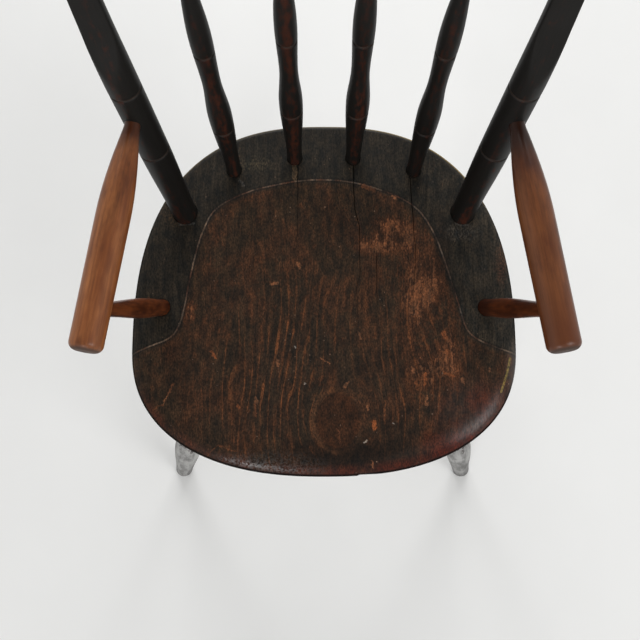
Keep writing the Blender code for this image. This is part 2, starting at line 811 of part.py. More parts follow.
def make_spindle(number, spread, edge, head_spread, ring, seat, crest):
    """A bamboo-turned spindle between the deck and the crest."""
    foot, head = spindle_line(spread, edge, head_spread)
    along = (head - foot).normalized()
    length = (head - foot).length
    head_radius = CREST_THICKNESS / 2 - CREST_WALL - FIT
    stations = [
        (-deck_tenon(), SPINDLE_TENON_RADIUS),
        (NECK, SPINDLE_TENON_RADIUS),
        (SPINDLE_SWELL, SPINDLE_SWELL_RADIUS),
        (SPINDLE_WAIST, SPINDLE_WAIST_RADIUS),
        (SPINDLE_UPPER_SWELL, SPINDLE_UPPER_RADIUS),
        (length - NECK, head_radius),
        (length + SPINDLE_HEAD_TENON, head_radius),
    ]
    profile = turned_profile(stations, (ring, SPINDLE_UPPER_RING))
    name = f"spindle_{number}"
    turned(name, foot, along, profile, BLACK_PAINT, SLIM_SIDES)
    bore(seat, name, foot, -along, SPINDLE_TENON_RADIUS, deck_tenon(), SLIM_SIDES)
    bore(crest, name, head, along, head_radius, SPINDLE_HEAD_TENON, SLIM_SIDES)


def make_back(seat):
    """Stiles, crest with its pins, and the four spindles from left to right."""
    stiles = {side: make_stile(side_name, side, seat) for side_name, side in SIDES}
    crest = make_crest()
    for side_name, side in SIDES:
        join_crest(crest, stiles[side], side_name, side)
        make_pin(side_name, side)
    inner = (INNER_SPINDLE_SPREAD, INNER_SPINDLE_EDGE, INNER_HEAD_SPREAD, INNER_SPINDLE_RING)
    outer = (OUTER_SPINDLE_SPREAD, OUTER_SPINDLE_EDGE, OUTER_HEAD_SPREAD, OUTER_SPINDLE_RING)
    row = ((-1, outer), (-1, inner), (1, inner), (1, outer))
    for number, (side, (spread, edge, head_spread, ring)) in enumerate(row, start=1):
        make_spindle(number, side * spread, edge, side * head_spread, ring, seat, crest)
    return stiles


def arm_line(side):
    """The middle of the stile behind an arm, and the arm's direction and length to over the seat's edge."""
    rear = stile_middle(side, ARM_HEIGHT / stile_axes(side).up.z)
    front = Vector((side * SEAT_WIDTH / 2, ARM_FRONT_BACK, SEAT_HEIGHT + ARM_FRONT_HEIGHT))
    return rear, (front - rear).normalized(), (front - rear).length


def arm_radius(distance, length):
    """The radius along an arm: a quarter wave from its tenon to the swell, then nearly even to the front."""
    if distance >= ARM_SWELL:
        return eased_radius([(ARM_SWELL, ARM_RADIUS), (length - ARM_END_ROUND, ARM_END_RADIUS)], distance)
    neck = STILE_RADIUS + NECK / 2
    share = max(0.0, (distance - neck) / (ARM_SWELL - neck))
    return ARM_TENON_RADIUS + (ARM_RADIUS - ARM_TENON_RADIUS) * math.sin(math.pi / 2 * share)


def arm_profile(length):
    """Distances and radii along an arm: tenon, swell, a nearly full front, and its rounded-over end."""
    neck = STILE_RADIUS + NECK / 2
    shoulder = length - ARM_END_ROUND
    places = [-TENON_PAST_AXIS, neck]
    places += [neck + (ARM_SWELL - neck) * step / 6 for step in range(1, 7)]
    places += [(ARM_SWELL + shoulder) / 2, shoulder]
    profile = [(place, arm_radius(place, length)) for place in places]
    for step in range(1, 4):
        turn = math.pi / 2 * step / 3
        reach = length - ARM_END_ROUND * (1 - math.sin(turn))
        profile.append((reach, ARM_END_RADIUS - ARM_END_ROUND * (1 - math.cos(turn))))
    return profile


def make_arm(side_name, side, stile):
    """A turned arm, tenoned into its stile, with a rounded-over front end."""
    rear, along, length = arm_line(side)
    arm = turned(f"arm_{side_name}", rear, along, arm_profile(length), BARE_WOOD, ROUND_SIDES)
    mouth = rear + along * STILE_RADIUS
    bore(stile, arm.name, mouth, -along, ARM_TENON_RADIUS, STILE_RADIUS + TENON_PAST_AXIS, ROUND_SIDES)
    return arm


def make_arm_post(side_name, side, seat, arm):
    """The post that carries an arm, leaning out and forward from the seat."""
    rear, arm_along, arm_length = arm_line(side)
    reach = arm_length - POST_HEAD_FROM_END
    head = rear + arm_along * reach
    half_arm = arm_radius(reach, arm_length)
    foot = Vector((side * (SEAT_WIDTH / 2 - POST_INSET), POST_BACK, SEAT_HEIGHT))
    along = (head - foot).normalized()
    length = (head - foot).length
    stations = [
        (-deck_tenon(), POST_TENON_RADIUS),
        (NECK, POST_TENON_RADIUS),
        (POST_SWELL, POST_RADIUS),
        (length - half_arm - NECK, POST_HEAD_RADIUS),
        (length + TENON_PAST_AXIS, POST_HEAD_RADIUS),
    ]
    post = turned(f"arm_post_{side_name}", foot, along, turned_profile(stations), RED_BROWN, SLIM_SIDES)
    bore(seat, post.name, foot, -along, POST_TENON_RADIUS, deck_tenon(), SLIM_SIDES)
    mouth = head - along * half_arm
    bore(arm, post.name, mouth, along, POST_HEAD_RADIUS, half_arm + TENON_PAST_AXIS, SLIM_SIDES)


def make_arms(seat, stiles):
    """Both arms and their posts."""
    for side_name, side in SIDES:
        arm = make_arm(side_name, side, stiles[side])
        make_arm_post(side_name, side, seat, arm)


def centre_on_footprint():
    """Moves the chair so that the middle of its box stands over the origin."""
    bpy.context.view_layer.update()
    graph = bpy.context.evaluated_depsgraph_get()
    depths = []
    for part in parts.objects:
        shown = part.evaluated_get(graph)
        mesh = shown.to_mesh()
        depths += [(shown.matrix_world @ vertex.co).y for vertex in mesh.vertices]
        shown.to_mesh_clear()
    chair.location.y = -(min(depths) + max(depths)) / 2


clear_scene()
parts = new_collection("windsor_high_chair")
cutters = new_collection("cutters")
chair = bpy.data.objects.new("chair", None)
bpy.context.scene.collection.objects.link(chair)

plank = make_seat()
make_underframe(plank)
back_stiles = make_back(plank)
make_arms(plank, back_stiles)
centre_on_footprint()
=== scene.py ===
"""Windsor high chair, dressed for the camera.

Every piece is a surface worked out over a grid of points, and stands for the solid of the same name.
Metres, +Z up. The chair faces -Y, and left and right are as seen from the front.
Places on the chair are measured back from the seat's front edge, as its maker would.
"""

import math

import bpy
import numpy as np
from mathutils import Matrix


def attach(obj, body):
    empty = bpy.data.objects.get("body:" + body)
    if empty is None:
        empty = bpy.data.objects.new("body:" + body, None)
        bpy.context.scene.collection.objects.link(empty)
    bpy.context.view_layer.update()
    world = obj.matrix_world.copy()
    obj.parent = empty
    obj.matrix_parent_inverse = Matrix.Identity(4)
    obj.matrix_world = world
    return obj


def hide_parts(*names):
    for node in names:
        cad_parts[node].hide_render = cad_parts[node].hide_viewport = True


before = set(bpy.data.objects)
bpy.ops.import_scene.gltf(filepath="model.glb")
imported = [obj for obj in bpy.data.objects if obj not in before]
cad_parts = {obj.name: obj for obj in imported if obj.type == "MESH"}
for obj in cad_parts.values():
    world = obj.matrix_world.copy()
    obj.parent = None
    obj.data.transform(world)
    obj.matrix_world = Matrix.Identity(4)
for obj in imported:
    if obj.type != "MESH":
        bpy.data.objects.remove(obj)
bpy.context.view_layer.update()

# Where the seat's front edge lies in the chair's frame
SEAT_FRONT = -0.181956

# Steps of the surfaces
ROUND_COLUMNS = 48
PITCH = 0.003
RING_REACH = 0.0032
RING_STEPS = 17
SEAT_COLUMNS = 384
SEAT_ROWS = 84
BEVEL_ROWS = 8
EDGE_ROWS = 5
SIDE_ROWS = (0.33, 0.66)
ROLL_ROWS = 26
OUTLINE_STEPS = 241
OUTLINE_NUDGE = 0.004
GOUGE_COLUMNS = 14
CRACK_ROWS = 40
DOME_ROWS = 14
CREST_ROWS = 72
CORNER_STEPS = 7
ARM_END_ROWS = 10
SHARP_ANGLE = 40.0
SEAT_SHARP_ANGLE = 32.0

# Turned pieces
RING_CUT = 0.0008
RING_HALF_WIDTH = 0.0014
RING_POWER = 1.3
OUT_OF_ROUND = 0.006
ROUND_TWIST = 11
NECK = 0.005
TENON_PAST_AXIS = 0.003
RUNS_BACK = 0.8
# How far the grain of each piece is shifted from the one before, and where each kind of piece starts
GRAIN_SHIFT = np.array((0.31, 0.17, 0.53))
LEG_GRAIN = {"front": 1, "rear": 3}
STRETCHER_GRAIN = 5
REAR_STRETCHER_GRAIN = 7
FOOT_RAIL_GRAIN = 8
SPINDLE_GRAIN = 11
STILE_GRAIN = 16
CREST_GRAIN = 19
PIN_GRAIN = 21
ARM_GRAIN = {"left": 24, "right": 27}

# Seat plank
SEAT_HEIGHT = 0.520
SEAT_WIDTH = 0.3456
SEAT_DEPTH = 0.323
SEAT_THICKNESS = 0.034
SEAT_BOTTOM = SEAT_HEIGHT - SEAT_THICKNESS
WIDEST_AT = 0.115
FRONT_FULLNESS = 2.36
BACK_FULLNESS = 2.54
FRONT_ROLL = 0.013
FRONT_ROLL_WIDTH = 0.028
ROLL_POWER = 1.5
BACK_ROUND = 0.004
UNDER_BEVEL_WIDTH = 0.026
UNDER_BEVEL_RISE = 0.013
EDGE_ROUND = 0.002
HAND_WAVE = 0.00012
SADDLE_DEPTH = 0.008
SADDLE_SLOPE = 1.3
GROOVE_SIDE_INSET = 0.0508
GROOVE_BACK_INSET = 0.0525
GROOVE_SPRING = 0.150
GROOVE_ARCH = SEAT_DEPTH - GROOVE_BACK_INSET - GROOVE_SPRING
GROOVE_FULLNESS = 2.3
SADDLE_OPENING = 0.090
GROOVE_RADIUS = 0.0011
GROOVE_DEPTH = 0.0009
GROOVE_SMOOTHINGS = 3
# The groove was scribed and cut by hand: its (x, back) marks from the right edge round to the left
GROOVE_MARKS = (
    (0.1745, 0.1068), (0.1530, 0.1142), (0.1382, 0.1203), (0.1305, 0.1262), (0.1262, 0.1340),
    (0.1215, 0.1520), (0.1170, 0.1690), (0.1098, 0.1935), (0.1020, 0.2178), (0.0872, 0.2428),
    (0.0662, 0.2552), (0.0475, 0.2622), (0.0240, 0.2686), (0.0000, 0.2705), (-0.0235, 0.2693),
    (-0.0470, 0.2648), (-0.0708, 0.2588), (-0.1012, 0.2435), (-0.1122, 0.2182), (-0.1182, 0.1940),
    (-0.1227, 0.1702), (-0.1252, 0.1530), (-0.1288, 0.1362), (-0.1335, 0.1264), (-0.1402, 0.1206),
    (-0.1550, 0.1152), (-0.1745, 0.1064),
)
SOCKET_ROOF = 0.005
SOCKET_FLOOR = 0.012
SOCKET_GAP = 0.0004
DRILL_STARTS = (-0.012, -0.004)
DECK_TENON = SEAT_THICKNESS - SOCKET_FLOOR
LEG_TENON = SEAT_THICKNESS - SADDLE_DEPTH - SOCKET_ROOF

# Wear of the plank: a chipped front edge, and shrinkage cracks as (x, back) places with a half width
CHIP_START = 0.029
CHIP_LENGTH = 0.024
CHIP_DEPTH = 0.0011
CHIP_STEEPNESS = 12
CRACK_DEPTH = 0.006
CRACK_TOP = 0.002
CRACK_WANDER = 0.0002
CRACK_WANDER_TURN = 31
CRACK_CLOSING = 0.90
CRACK_CLOSING_POWER = 2.2
CRACK_SHALLOWING = 0.7
CRACKS = (
    (((-0.0242, 0.284), (-0.0240, 0.250), (-0.0246, 0.217), (-0.0240, 0.196)), 0.00036),
    (((0.0273, 0.287), (0.0279, 0.245), (0.0326, 0.228), (0.0330, 0.182), (0.0298, 0.170),
      (0.0310, 0.132)), 0.00050),
    (((0.0793, 0.273), (0.0812, 0.243), (0.0829, 0.216), (0.0842, 0.193), (0.0813, 0.168),
      (0.0795, 0.124)), 0.00052),
    (((0.0483, 0.203), (0.0480, 0.175), (0.0486, 0.140)), 0.00034),
)

# Legs: inset of the head from the seat's side, its distance back, the foot's outset and distance back
LEG_ROWS = {
    "front": (0.056, 0.075, 0.0272, 0.012),
    "rear": (0.081, SEAT_DEPTH - 0.097, 0.0172, SEAT_DEPTH + 0.029),
}
LEG_TENON_RADIUS = 0.0095
LEG_UPPER_RING = 0.135
LEG_LOWER_RING = 0.300
# Distance down a leg and radius: upper swell, waist and lower swell
LEG_SWELLS = ((LEG_UPPER_RING, 0.0156), (0.215, 0.0126), (LEG_LOWER_RING, 0.0162))
FOOT_RADIUS = 0.0116
# Rows of the foot's rubbed arris: distance from the end, and what is lost of the radius
FOOT_ARRIS = ((0.0018, 0.0), (0.0008, 0.0002), (0.0003, 0.0006), (0.0, 0.0012))
FOOT_LEVEL_RUN = 0.030
SCUFF_RUN = 0.400

# Stretchers
STRETCHER_HEIGHT = 0.190
REAR_STRETCHER_RISE = 0.040
FOOT_RAIL_RISE = 0.075
STRETCHER_TENON_RADIUS = 0.0062
STRETCHER_RADIUS = 0.0105
FOOT_RAIL_RADIUS = 0.0125
FOOT_RAIL_FLAT = 0.0075
ARRIS = 0.0008

# Back: stiles, crest and spindles
STILE_INSET = 0.0453
STILE_FROM_BACK = 0.084
STILE_LEAN_BACK = math.radians(13.0)
STILE_LEAN_OUT = math.radians(6.1)
STILE_LENGTH = 0.358
STILE_TENON_RADIUS = 0.0110
STILE_RINGS = (0.104, 0.182)
STILE_RADIUS = 0.0126
STILE_NECK_RADIUS = 0.0104
STILE_THUMB_RADIUS = 0.0120
STILE_THUMB_ROUND = 0.012
STILE_SHAVE_START = 0.188
STILE_SHAVE_END = 0.250
STILE_FLAT = 0.0035
STILE_BEND = 0.016
STILE_AGE = -0.12
STILE_FOOT_AGE = 0.11
STILE_FOOT_RUN = 0.040
CREST_LEVEL = np.array(STILE_LENGTH - 0.0453)
CREST_HEIGHT = 0.050
CREST_THICKNESS = 0.0125
CREST_BOW = 0.026
CREST_CROWN = 0.008
CREST_TILT = math.radians(11.0)
CREST_ROUND = 0.0035
CREST_HOUSING = 0.002
CREST_TENON_LENGTH = 0.0125
PIN_RADIUS = 0.0016
PIN_PROUD = 0.0004
# Rows of a pin's domed end: shares of how proud it is and of its radius
PIN_DOME = ((1.0, 0.35), (0.8, 0.8), (0.3, 1.0))
PIN_ROWS = 5
SPINDLE_TENON_RADIUS = 0.0068
# Distance up a spindle and radius: lower swell, waist and upper swell
SPINDLE_SWELLS = ((0.090, 0.0099), (0.136, 0.0074), (0.186, 0.0086))
SPINDLE_UPPER_RING = 0.172
SPINDLE_HEAD_TENON = 0.014
SPINDLE_HEAD_RADIUS = CREST_THICKNESS / 2 - 0.0025
# Spread at the seat, distance from the seat's back edge, spread at the crest, and height of the lower ring
INNER_SPINDLE = (0.0270, 0.0318, 0.0300, 0.0790)
OUTER_SPINDLE = (0.0830, 0.0434, 0.0960, 0.0715)
# How far the red shows through on each spindle, from left to right
SPINDLE_AGE = (0.02, 0.10, 0.03, 0.03)

# Arms and their posts
ARM_HEIGHT = 0.150
ARM_FRONT_HEIGHT = 0.153
ARM_FRONT_BACK = 0.0885
ARM_TENON_RADIUS = 0.0060
ARM_RADIUS = 0.0130
ARM_END_RADIUS = 0.0128
ARM_SWELL = 0.085
ARM_END_ROUND = 0.0060
POST_INSET = 0.0263
POST_BACK = 0.150
POST_HEAD_FROM_END = 0.031
POST_TENON_RADIUS = 0.0076
POST_RADIUS = 0.0085
POST_SWELL = 0.050
POST_HEAD_RADIUS = 0.0058
ARM_AGE = {"left": 0.03, "right": 0.60}
ARM_REAR_GRIME = {"left": 1.15, "right": 0.95}
ARM_GRIME_RUN = {"left": 0.030, "right": 0.060}

# Room: each lamp's name, place, size, power and the height over the chair's middle that it is aimed at
LAMPS = (
    ("front_right", (0.99, -0.82, 1.74), 0.8, 9.0, SEAT_HEIGHT),
    ("front_left", (-0.55, -1.75, 1.25), 0.5, 6.5, SEAT_HEIGHT),
    ("behind", (0.00, 1.90, 1.70), 2.0, 53.0, 1.70),
)
SKY_STRENGTH = 0.74
FLOOR_REACH = 6.0
CAMERA_PLACE = (-0.0036, SEAT_FRONT, 1.3061)
CAMERA_TILT = math.radians(10.0)
CAMERA_LENS = 50.0
CAMERA_SENSOR = 36.0

SIDES = (("left", -1), ("right", 1))
TAU = 2 * math.pi
QUARTER = math.pi / 2
ANGLES = np.linspace(0, TAU, ROUND_COLUMNS, endpoint=False)


def point(x, y, z):
    """A place or direction as an array."""
    return np.array((x, y, z), float)


def aimed(start, end):
    """The direction from one place to another, and the length between them."""
    length = np.linalg.norm(end - start)
    return (end - start) / length, length


def unit(vector):
    """The direction of a vector."""
    return vector / np.linalg.norm(vector)


def smooth(share):
    """Runs from 0 to 1 as three share squared less two share cubed, level at both ends."""
    share = np.clip(share, 0.0, 1.0)
    return share * share * (3 - 2 * share)


def soft_least(first, second, width):
    """The lesser of two values, with the corner between them rounded over a width."""
    return (first + second - np.sqrt((first - second) ** 2 + width**2)) / 2


def eased(stations, distance):
    """Radius at a distance: half a cosine wave from each station to the next, level at both."""
    places, radii = np.array(stations).T
    at = np.clip(np.searchsorted(places, distance, side="right") - 1, 0, len(places) - 2)
    share = np.clip((distance - places[at]) / (places[at + 1] - places[at]), 0.0, 1.0)
    return radii[at] + (radii[at + 1] - radii[at]) * (1 - np.cos(math.pi * share)) / 2


def spaced(first, last, rings=()):
    """Distances from first to last at an even pitch, with close steps across each incised ring."""
    even = np.linspace(first, last, max(2, round((last - first) / PITCH) + 1))
    rings = np.array(rings, float)
    clear = (np.abs(even[:, None] - rings) > RING_REACH + PITCH / 3).all(1)
    close = (rings[:, None] + np.linspace(-RING_REACH, RING_REACH, RING_STEPS)).ravel()
    return np.sort(np.concatenate([even[clear], close]))


def ring_gap(distance, rings):
    """Signed distance to the nearest incised ring, or a far value where there is none."""
    if not rings:
        return np.full_like(distance, 1.0)
    gaps = distance[:, None] - np.array(rings)
    return gaps[np.arange(len(gaps)), np.abs(gaps).argmin(1)]


def ring_notch(distance, rings):
    """Depth of the incised rings: a V whose mouth is slightly rounded."""
    share = np.abs(ring_gap(distance, rings)) / RING_HALF_WIDTH
    return RING_CUT * np.clip(1 - share**RING_POWER, 0, None)


def across_axes(along):
    """Two directions square to an axis and to each other, right-handed with it."""
    helper = point(1, 0, 0) if abs(along[1]) > RUNS_BACK else point(0, 1, 0)
    side = unit(np.cross(helper, along))
    return side, np.cross(along, side)


def put_object(name, data):
    """Puts a mesh, a lamp or a camera into the scene."""
    thing = bpy.data.objects.new(name, data)
    bpy.context.scene.collection.objects.link(thing)
    return thing


def put_mesh(name, points, faces, fields):
    """A mesh from points, faces and a value per point for each field."""
    mesh = bpy.data.meshes.new(name)
    mesh.from_pydata(points + point(0, SEAT_FRONT, 0), [], faces)
    add_fields(mesh, fields)
    return mesh


def add_fields(mesh, fields):
    """Stores one number or vector per point under each field's name."""
    for name, values in fields.items():
        kind, entry = ("FLOAT_VECTOR", "vector") if values.ndim == 2 else ("FLOAT", "value")
        stored = mesh.attributes.new(name, kind, "POINT")
        stored.data.foreach_set(entry, values.astype(np.float32).ravel())


def skin(grid, poles, fields):
    """Skins a grid, rows along the piece and columns round it, and closes each end with a fan to its pole.

    Gives the points, the faces, and the fields on every point; a pole takes the mean of its end's fields.
    """
    rows, columns = grid.shape[:2]
    ring = np.arange(columns)
    after = (ring + 1) % columns
    row = np.arange(rows - 1)[:, None] * columns
    quads = np.stack([row + ring, row + after, row + columns + after, row + columns + ring], -1)
    pole = np.full(columns, rows * columns)
    last = (rows - 1) * columns
    fans = [np.stack([pole, after, ring], -1), np.stack([pole + 1, last + ring, last + after], -1)]
    flat = {}
    for name, values in fields.items():
        ends = np.stack([values[0].mean(0), values[-1].mean(0)])
        flat[name] = np.concatenate([values.reshape((-1,) + values.shape[2:]), ends])
    points = np.concatenate([grid.reshape(-1, 3), np.array(poles)])
    return points, quads.reshape(-1, 4).tolist() + np.concatenate(fans).tolist(), flat


def joined(skins):
    """One skin from several that don't touch each other, its four-sided faces first."""
    faces, count = [], 0
    for points, part, _ in skins:
        faces += [[corner + count for corner in face] for face in part]
        count += len(points)
    return np.concatenate([points for points, *_ in skins]), sorted(faces, key=len, reverse=True), {}


def add_piece(node, slot, mesh, sharp=SHARP_ANGLE):
    """Puts a mesh into the scene for a node of the chair, riding on its only body."""
    mesh.shade_smooth()
    mesh.set_sharp_from_angle(angle=math.radians(sharp))
    mesh.materials.append(FINISHES[slot])
    piece = put_object(f"{node}_finished", mesh)
    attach(piece, "root")
    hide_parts(node)


def wood_fields(places, ring, facing, age, offset):
    """Grain place, ring distance, how much each point faces -Y, and how much the piece has aged there."""
    grain = np.stack(np.broadcast_arrays(*places), -1)
    fields = {"ring": ring, "rub": np.clip(facing, 0.0, 1.0), "age": age}
    spread = {name: np.broadcast_to(values, grain.shape[:2]) for name, values in fields.items()}
    return {"grain": grain + GRAIN_SHIFT * offset, **spread}


def turned_fields(distances, radii, outward, rings, offset, age):
    """The fields of a round piece from its distances, its radii and its outward directions."""
    places = radii * np.cos(ANGLES), radii * np.sin(ANGLES), distances[:, None]
    ring = ring_gap(distances, rings)[:, None]
    return wood_fields(places, ring, -outward[:, 1], np.reshape(age, (-1, 1)), offset)


def turned(start, along, profile, rings=(), offset=0.0, age=0.0, on_floor=False, flat_top=None):
    """A turned piece: at distance s and angle a, start + s along + r(s) (cos a side + sin a other).

    r(s) swells and wanes by a few hundredths of a millimetre round the piece, as hand turning leaves it.
    on_floor slides the last rows along the piece until they lie level; flat_top planes the top off.
    """
    distances, radii = profile
    side, other = across_axes(along)
    outward = np.cos(ANGLES)[:, None] * side + np.sin(ANGLES)[:, None] * other
    uneven = 1 + OUT_OF_ROUND * np.cos(2 * ANGLES + ROUND_TWIST * distances[:, None] + offset)
    reach = radii[:, None] * uneven
    run = np.repeat(distances[:, None], ROUND_COLUMNS, 1)
    if on_floor:
        level = (start[2] + reach * outward[:, 2]) / -along[2]
        last = distances[-1]
        run = run + (level - last) * np.clip(1 - (last - run) / FOOT_LEVEL_RUN, 0, 1)
    grid = start + run[..., None] * along + reach[..., None] * outward
    if flat_top is not None:
        grid[..., 2] = soft_least(grid[..., 2], start[2] + flat_top, ARRIS)
    poles = [start + along * distances[0], start + along * distances[-1]]
    return skin(grid, poles, turned_fields(distances, reach, outward, rings, offset, age))


def turn_piece(node, slot, *shape, **extra):
    """Adds a turned piece for a node."""
    add_piece(node, slot, put_mesh(node, *turned(*shape, **extra)))


def profile_of(stations, rings=()):
    """Distances and radii of a turned piece from its stations, with its rings cut in."""
    distances = spaced(stations[0][0], stations[-1][0], rings)
    return distances, eased(stations, distances) - ring_notch(distances, rings)


def outline(turn):
    """The seat's outline: half superellipses before and behind the widest line, as (x, back) pairs."""
    across, back = np.cos(turn), np.sin(turn)
    power = 2 / np.where(back > 0, BACK_FULLNESS, FRONT_FULLNESS)
    reach = np.where(back > 0, SEAT_DEPTH - WIDEST_AT, WIDEST_AT)
    x = SEAT_WIDTH / 2 * np.sign(across) * np.abs(across) ** power
    y = WIDEST_AT + reach * np.sign(back) * np.abs(back) ** power
    return np.stack([x, y], -1)


def outline_half_width(y):
    """Half the seat's width at a distance back from its front edge."""
    power = np.where(y > WIDEST_AT, BACK_FULLNESS, FRONT_FULLNESS)
    reach = np.where(y > WIDEST_AT, SEAT_DEPTH - WIDEST_AT, WIDEST_AT)
    share = np.clip(np.abs(y - WIDEST_AT) / reach, 0.0, 1.0)
    return SEAT_WIDTH / 2 * (1 - share**power) ** (1 / power)


def saddle_half_width(y):
    """Half the width of the saddle: inside the groove, then widening smoothly to the seat's outline."""
    inner = SEAT_WIDTH / 2 - GROOVE_SIDE_INSET
    opened = smooth((GROOVE_SPRING - y) / SADDLE_OPENING)
    return inner + (outline_half_width(y) - inner) * opened


def saddle_spread(x, y):
    """A superellipse's measure of the saddle: 0 at its deepest place and 1 on its border."""
    reach = np.where(y > GROOVE_SPRING, GROOVE_ARCH, GROOVE_SPRING)
    width = np.maximum(saddle_half_width(y), EDGE_ROUND)
    return (np.abs(x) / width) ** GROOVE_FULLNESS + (np.abs(y - GROOVE_SPRING) / reach) ** GROOVE_FULLNESS


def saddle_drop(x, y):
    """How far the seat's top lies under the deck: the depth times (1 - spread) to a power."""
    return SADDLE_DEPTH * np.clip(1 - saddle_spread(x, y), 0, None) ** SADDLE_SLOPE


def groove_line():
    """The groove in plan: straight runs between its marks, rounded by cutting off their corners.

    Each cut puts two points on every run, a quarter and three quarters of the way along it.
    """
    line = np.array(GROOVE_MARKS)
    for _ in range(GROOVE_SMOOTHINGS):
        near, far = line[:-1], line[1:]
        quarters = np.stack([0.75 * near + 0.25 * far, 0.25 * near + 0.75 * far], 1)
        line = np.concatenate([line[:1], quarters.reshape(-1, 2), line[-1:]])
    return line


def gap_to_line(places, line):
    """The distance in plan from each place to a line of straight runs."""
    least = np.full(len(places), 1.0)
    for near, far in zip(line, line[1:]):
        run = far - near
        share = np.clip((places - near) @ run / (run @ run), 0.0, 1.0)
        least = np.minimum(least, np.linalg.norm(places - near - share[:, None] * run, axis=1))
    return least


def in_saddle(places, line):
    """Whether each place lies before the groove, which runs from right to left without turning back."""
    x, back = line[::-1].T
    return places[:, 1] < np.interp(places[:, 0], x, back)


def seat_edge_rows(turn):
    """Rows up the plank's edge: inset, height, and the share of the saddle's drop that each row takes.

    They climb the underside's bevel and the side, then a quarter ellipse that is widest at the front.
    """
    front_share = ((1 - np.sin(turn)) / 2) ** ROLL_POWER
    roll = BACK_ROUND + (FRONT_ROLL - BACK_ROUND) * front_share
    width = BACK_ROUND + (FRONT_ROLL_WIDTH - BACK_ROUND) * front_share
    bevel = np.linspace(0, 1, BEVEL_ROWS)[:, None]
    turn_up = np.linspace(0, QUARTER, EDGE_ROWS)[1:, None]
    side = np.array(SIDE_ROWS)[:, None]
    lift = np.linspace(0, QUARTER, ROLL_ROWS)[:, None]
    side_foot = UNDER_BEVEL_RISE + EDGE_ROUND
    level = np.ones_like(turn)
    inset = np.concatenate([
        (UNDER_BEVEL_WIDTH + (EDGE_ROUND - UNDER_BEVEL_WIDTH) * bevel) * level,
        EDGE_ROUND * (1 - np.sin(turn_up)) * level,
        0 * side * level,
        width * (1 - np.cos(lift)),
    ])
    height = np.concatenate([
        UNDER_BEVEL_RISE * bevel * level,
        (UNDER_BEVEL_RISE + EDGE_ROUND * (1 - np.cos(turn_up))) * level,
        side_foot + (SEAT_THICKNESS - roll - side_foot) * side,
        SEAT_THICKNESS - roll * (1 - np.sin(lift)),
    ])
    below = len(inset) - len(lift)
    return inset, height, np.concatenate([np.zeros((below, 1)), smooth(lift / QUARTER)])


def hand_waves(x, y):
    """The slight waves that hand planing leaves: a sum of long sine waves along and across the plank."""
    wave = np.sin(61 * x + 2.1 * np.sin(17 * y)) + 0.7 * np.sin(118 * x + 31 * y + 1.3)
    return HAND_WAVE * (wave + 0.8 * np.sin(47 * y + 23 * x))


def hollow(plan):
    """How far the plank's top lies under its full thickness: the saddle's drop less the waves."""
    x, y = plan[..., 0], plan[..., 1]
    return saddle_drop(x, y) - hand_waves(x, y)


def edge_chip(x, y):
    """The broken front edge: a sharp step inward that fades away to the right."""
    along = (x - CHIP_START) / CHIP_LENGTH
    bite = smooth(along * CHIP_STEEPNESS) * (1 - smooth(along))
    return CHIP_DEPTH * np.where((y < WIDEST_AT / 2) & (along > 0), bite, 0.0)


def seat_blank():
    """The plank before its groove: rows of its edge, then rows drawn in to the saddle's middle.

    An edge row is the outline moved inward along its normal; a top row is the last edge row drawn towards
    the middle by an even share. The top lies at the plank's thickness less the saddle's drop and the waves.
    """
    turn = (np.arange(SEAT_COLUMNS) + 0.5) * TAU / SEAT_COLUMNS
    edge = outline(turn)
    ahead = outline(turn + OUTLINE_NUDGE) - outline(turn - OUTLINE_NUDGE)
    inward = np.stack([-ahead[:, 1], ahead[:, 0]], -1) / np.linalg.norm(ahead, axis=1)[:, None]
    inset, height, drop_share = seat_edge_rows(turn)
    inset = inset + edge_chip(*edge.T) * smooth((height - UNDER_BEVEL_RISE) / EDGE_ROUND)
    rim = edge + inset[..., None] * inward
    middle = np.array((0.0, GROOVE_SPRING))
    shares = (1 - np.linspace(0, 1, SEAT_ROWS))[1:-1, None, None]
    top = middle + (rim[-1] - middle) * shares
    lift = np.concatenate([height - drop_share * hollow(rim), SEAT_THICKNESS - hollow(top)]) + SEAT_BOTTOM
    poles = [np.append(middle, SEAT_BOTTOM), np.append(middle, SEAT_HEIGHT - SADDLE_DEPTH)]
    return skin(np.concatenate([np.concatenate([rim, top]), lift[..., None]], -1), poles, {})


def groove_gouge():
    """A round bar along the groove's line: the line plus a circle in the plane square to it."""
    line = groove_line()
    ahead = np.gradient(line, axis=0)
    ahead /= np.linalg.norm(ahead, axis=1)[:, None]
    square = np.stack([ahead[:, 1], -ahead[:, 0], np.zeros(len(line))], -1)
    level = SEAT_HEIGHT + GROOVE_RADIUS - GROOVE_DEPTH
    middle = np.concatenate([line, np.full((len(line), 1), level)], -1)
    angles = np.linspace(0, TAU, GOUGE_COLUMNS, endpoint=False)[:, None]
    ring = np.cos(angles) * square[:, None] + np.sin(angles) * point(0, 0, 1)
    return skin(middle[:, None] + GROOVE_RADIUS * ring, middle[[0, -1]], {})


